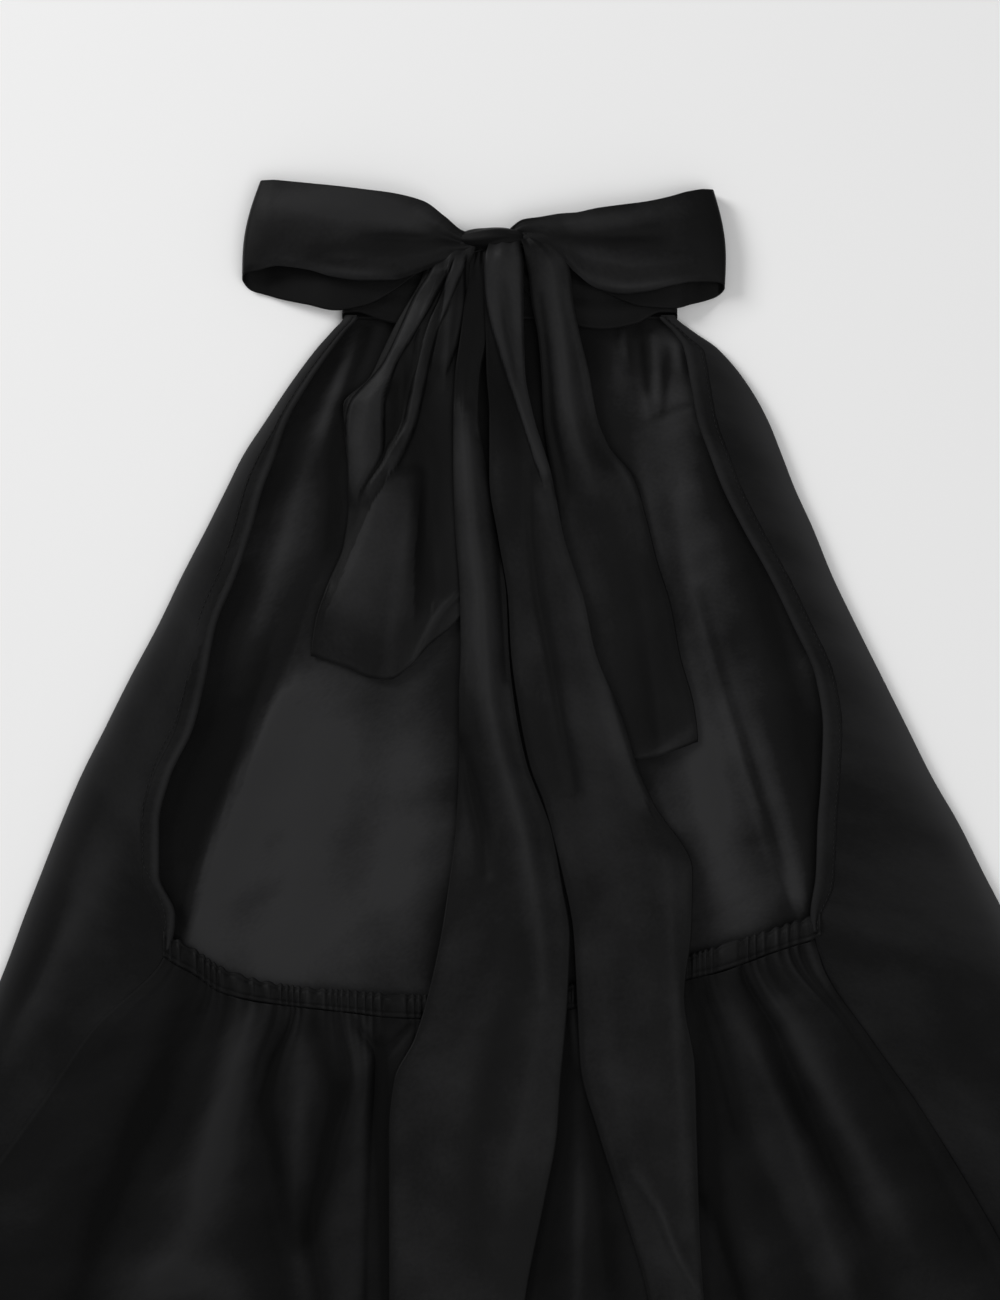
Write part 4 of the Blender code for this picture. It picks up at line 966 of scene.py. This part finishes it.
def bow_loop(name, table, creases, shading_marks, way):
    rows = len(table)
    s = np.linspace(0, rows - 1, 170)
    k = np.arange(rows)
    read = {c: curve(k, column(table, c))(s) for c in Loop._fields}
    t = np.linspace(0, 1, 56)[None, :]
    x = mix(read["x_low"][:, None], read["x_top"][:, None], t)
    y = mix(read["y_low"][:, None], read["y_top"][:, None], t)
    # The turn stands out in the middle of its height, where nothing pulls it in.
    x = x + way * 3.2 * np.sin(np.pi * t) * np.exp(-((s[:, None] - LOOP_TURN) / 2.6) ** 2)
    upper = ease((s - LOOP_TURN + 1) / 4)[:, None]
    pinch = ease((rows - 1 - s) / 3)[:, None]
    lower_pinch = ease(s / 3)[:, None]
    z = read["z"][:, None] + LOOP_BULGE * upper * pinch * np.sin(np.pi * t) ** 0.9
    # The upper layer's lower edge curls under a little, its upper edge less.
    z -= 1.3 * upper * pinch * np.exp(-(t / 0.05) ** 2)
    gather = np.cos(2 * np.pi * (t * 2.6 + 0.15)) * (1 - np.minimum(pinch, lower_pinch))
    z += 0.9 * gather
    z += upper * pinch * (crease_rise(creases, x, y) + ripple(x, y, 40, 0.35, 21))
    z += (1 - upper) * ripple(x, y, 50, 0.25, 22) * lower_pinch
    points = np.stack([x, y, z], axis=2)
    # Painted light and shade: the upper layer takes its crease and mark shading, and painted shade lies on
    # the under layer beneath it and in the hollows of the gathers.
    tone = upper * (pinch * crease_shading(creases, x, y) + painted_shading(shading_marks, x, y))
    tone = tone - 0.5 * (1 - upper) - 0.35 * np.maximum(-gather, 0)
    made = cloth(name + "_cloth", points, STRAP, [TIE], tone=tone)
    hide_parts(name)
    return made


def bow_knot():
    """The knot: wound cloth, pulled in where the folds dive under."""
    bpy.ops.mesh.primitive_uv_sphere_add(segments=120, ring_count=72, radius=1.0)
    made = bpy.context.active_object
    made.name = "bow_knot_cloth"
    mesh = made.data
    co = np.empty(len(mesh.vertices) * 3)
    mesh.vertices.foreach_get("co", co)
    co = co.reshape(-1, 3)
    x, y, z = co.T
    turn = np.arctan2(z, y)
    wrap = turn * 3 + 1.7 * x + 0.5 * np.sin(3 * x)
    folds = (0.5 - 0.5 * np.cos(wrap)) ** 0.6
    size = 1 - 0.13 * (1 - folds) * (1 - x * x) + 0.02 * np.sin(9 * turn + 4 * x)
    co[:, 0] = MM * (KNOT_CENTRE[0] + KNOT_HALF[0] * x * (0.97 + 0.03 * folds))
    co[:, 1] = MM * (KNOT_CENTRE[1] + KNOT_HALF[1] * y * size)
    co[:, 2] = MM * (KNOT_CENTRE[2] + KNOT_HALF[2] * z * size)
    mesh.vertices.foreach_set("co", co.astype(np.float32).ravel())
    mesh.update()
    layer = mesh.uv_layers.active
    layer.name = "cloth"
    uv = np.empty(len(mesh.loops) * 2)
    layer.data.foreach_get("uv", uv)
    uv = uv.reshape(-1, 2) * np.array([0.09, 0.045])
    layer.data.foreach_set("uv", uv.astype(np.float32).ravel())
    mesh.attributes.new("thin", "FLOAT", "POINT")
    tone = mesh.attributes.new("tone", "FLOAT", "POINT")
    # Painted shade: the knot is kept darker, deepest where its folds dive under.
    tone.data.foreach_set("value", (-0.7 + 0.6 * folds).astype(np.float32))
    mesh.polygons.foreach_set("use_smooth", [True] * len(mesh.polygons))
    mesh.materials.append(TIE)
    made.select_set(False)
    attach(made, "root")
    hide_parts("bow_knot")
    return made


def tie_end(name, table, hem, creases, seed, columns=64, folds=(), shading_marks=()):
    ys = column(table, "y")
    length = ys[0] - ys[-1]
    y = np.linspace(ys[-1], ys[0], max(90, int(length / 2.4)))
    read = {c: curve(ys, column(table, c))(y)[:, None] for c in Tie._fields if c != "y"}
    t = np.linspace(0, 1, columns)[None, :]
    fold = read["fold"]
    off = np.where(t < fold, (fold - t) / fold, (t - fold) / (1 - fold))
    z = read["z"] + read["rise"] * (0.5 + 0.5 * np.cos(np.pi * off))
    x = mix(read["left"], read["right"], t)
    yy = y[:, None] + 0 * t
    calm = ease((ys[0] - yy) / 25)
    z = z + calm * np.maximum(crease_rise(creases, x, yy), -2.4) + calm * ripple(x, yy, 45, 0.3, seed)
    for fold in folds:
        z = z + fold.rise * fold_rise(fold, x, yy)
    # Folded edges roll down a little, as a doubled tie's do.
    z -= 0.5 * calm * (np.exp(-(t / 0.04) ** 2) + np.exp(-((1 - t) / 0.04) ** 2))
    gather = np.cos(2 * np.pi * t * 2.2) * (1 - calm) * 0.5
    near_hem = ease((ys[-3] - yy) / (ys[-3] - ys[-1]))
    cut = curve(np.linspace(0, 1, len(hem)), hem)(t)
    points = np.stack([x, yy + cut * near_hem, z + gather], axis=2)
    # Painted light and shade from the creases, the marks and the folds.
    tone = crease_shading(creases, x, yy) + painted_shading(shading_marks, x, yy)
    for fold in folds:
        tone = tone + fold_shade(fold, x, yy)
    # Painted shade along both rolled edges of the tie.
    width = read["right"] - read["left"]
    tone -= 0.35 * (np.exp(-(t * width / 2.5) ** 2) + np.exp(-((1 - t) * width / 2.5) ** 2))
    made = cloth(name + "_cloth", points, STRAP, [TIE], tone=tone)
    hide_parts(name)
    return made


def stitches(name, x, y, z, length=2.4, gap=0.9):
    """A row of small machine stitches along a line."""
    path = np.stack([x, y, z], axis=1)
    steps = np.linalg.norm(np.diff(path, axis=0), axis=1)
    run = np.concatenate([[0], np.cumsum(steps)])
    bm = bmesh.new()
    at = gap
    while at + length < run[-1]:
        a = np.array([np.interp(at, run, path[:, k]) for k in range(3)])
        b = np.array([np.interp(at + length, run, path[:, k]) for k in range(3)])
        made = bmesh.ops.create_uvsphere(bm, u_segments=6, v_segments=4, radius=1.0)
        way = (b - a) / length
        turn = math.atan2(way[1], way[0])
        centre = (a + b) / 2
        for vert in made["verts"]:
            px, py, pz = vert.co.x * length / 2, vert.co.y * 0.22, vert.co.z * 0.14
            vert.co = (
                MM * (centre[0] + px * math.cos(turn) - py * math.sin(turn)),
                MM * (centre[1] + px * math.sin(turn) + py * math.cos(turn)),
                MM * (centre[2] + pz),
            )
        at += length + gap
    mesh = bpy.data.meshes.new(name)
    bm.to_mesh(mesh)
    bm.free()
    mesh.uv_layers.new(name="cloth")
    for attribute in ("thin", "tone"):
        mesh.attributes.new(attribute, "FLOAT", "POINT")
    mesh.polygons.foreach_set("use_smooth", [True] * len(mesh.polygons))
    mesh.materials.append(THREAD)
    made = bpy.data.objects.new(name, mesh)
    bpy.context.scene.collection.objects.link(made)
    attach(made, "root")
    return made


body = body_cloth()
band_left, stitch_x_left, stitch_y = armhole_band("armhole_band_left_edge", False)
band_right, stitch_x_right, stitch_y = armhole_band("armhole_band_right_edge", True)
stitch_z = BACK_Z + STITCH_LIFT + 0 * stitch_y
thread_left = stitches("armhole_stitches_left", stitch_x_left, stitch_y, stitch_z)
thread_right = stitches("armhole_stitches_right", stitch_x_right, stitch_y, stitch_z)
casing = casing_cloth()
back = back_cloth()
neck_front = neckband_front()
neck_left = neckband_half("neckband_left", NECK_LEFT, BODY[0].left - 1.0)
neck_right = neckband_half("neckband_right", NECK_RIGHT, BODY[0].right + 1.0)
loop_left = bow_loop("bow_loop_left", LOOP_LEFT, LOOP_LEFT_CREASES, LOOP_LEFT_PAINTED_SHADING, -1)
loop_right = bow_loop("bow_loop_right", LOOP_RIGHT, LOOP_RIGHT_CREASES, LOOP_RIGHT_PAINTED_SHADING, 1)
knot = bow_knot()
short_left = tie_end("tie_short_left", SHORT_LEFT, SHORT_LEFT_HEM, SHORT_LEFT_CREASES, 31, 84,
                     (LOBE, STRIP, HANGING, INNER), SHORT_LEFT_PAINTED_SHADING)
short_right = tie_end("tie_short_right", SHORT_RIGHT, SHORT_RIGHT_HEM, SHORT_RIGHT_CREASES, 32, 64,
                      (), SHORT_RIGHT_PAINTED_SHADING)
long_left = tie_end("tie_long_left", LONG_LEFT, STRAIGHT_HEM, LONG_LEFT_CREASES, 33, 80,
                    (), LONG_LEFT_PAINTED_SHADING)
long_right = tie_end("tie_long_right", LONG_RIGHT, STRAIGHT_HEM, LONG_RIGHT_CREASES, 34, 80,
                     (SPEAR,), LONG_RIGHT_PAINTED_SHADING)

# The floor, the light and the camera.

bpy.ops.mesh.primitive_plane_add(size=8.0, location=(0.0, 0.0, -0.0005))
floor = bpy.context.active_object
floor.name = "floor"
floor_material = bpy.data.materials.new("pale_floor")
floor_material.use_nodes = True
floor_shader = floor_material.node_tree.nodes["Principled BSDF"]
floor_shader.inputs["Base Color"].default_value = (0.80, 0.80, 0.80, 1.0)
floor_shader.inputs["Roughness"].default_value = 0.9
floor.data.materials.append(floor_material)
floor.select_set(False)

world = bpy.data.worlds.new("studio")
bpy.context.scene.world = world
world.use_nodes = True
world.node_tree.nodes["Background"].inputs["Color"].default_value = (1.0, 1.0, 1.0, 1.0)
world.node_tree.nodes["Background"].inputs["Strength"].default_value = 0.36


def soft_light(name, place, size, power):
    """A large square light aimed at the middle of the garment."""
    lamp = bpy.data.lights.new(name, "AREA")
    lamp.shape = "SQUARE"
    lamp.size = size
    lamp.energy = power
    made = bpy.data.objects.new(name, lamp)
    made.location = place
    aim = -np.array(place, float)
    made.rotation_euler = (
        math.atan2(math.hypot(aim[0], aim[1]), -aim[2]), 0.0, math.atan2(aim[1], aim[0]) - math.pi / 2)
    bpy.context.scene.collection.objects.link(made)
    return made


soft_light("window_light", (-2.4, 1.9, 1.7), 1.3, 84.0)
soft_light("overhead_light", (0.9, -0.5, 2.6), 2.2, 30.0)

VIEW_HEIGHT = 2.0
FRAME_LONG = 0.728   # metres of the scene along the long side of the image
camera_data = bpy.data.cameras.new("camera")
camera_data.sensor_width = 36.0
camera_data.lens = 36.0 * VIEW_HEIGHT / FRAME_LONG
camera = bpy.data.objects.new("camera", camera_data)
camera.location = (0.0, 0.1176, VIEW_HEIGHT + 0.006)
camera.rotation_euler = (0.0, 0.0, 0.0)
bpy.context.scene.collection.objects.link(camera)
bpy.context.scene.camera = camera
bpy.context.scene.view_settings.view_transform = "Standard"
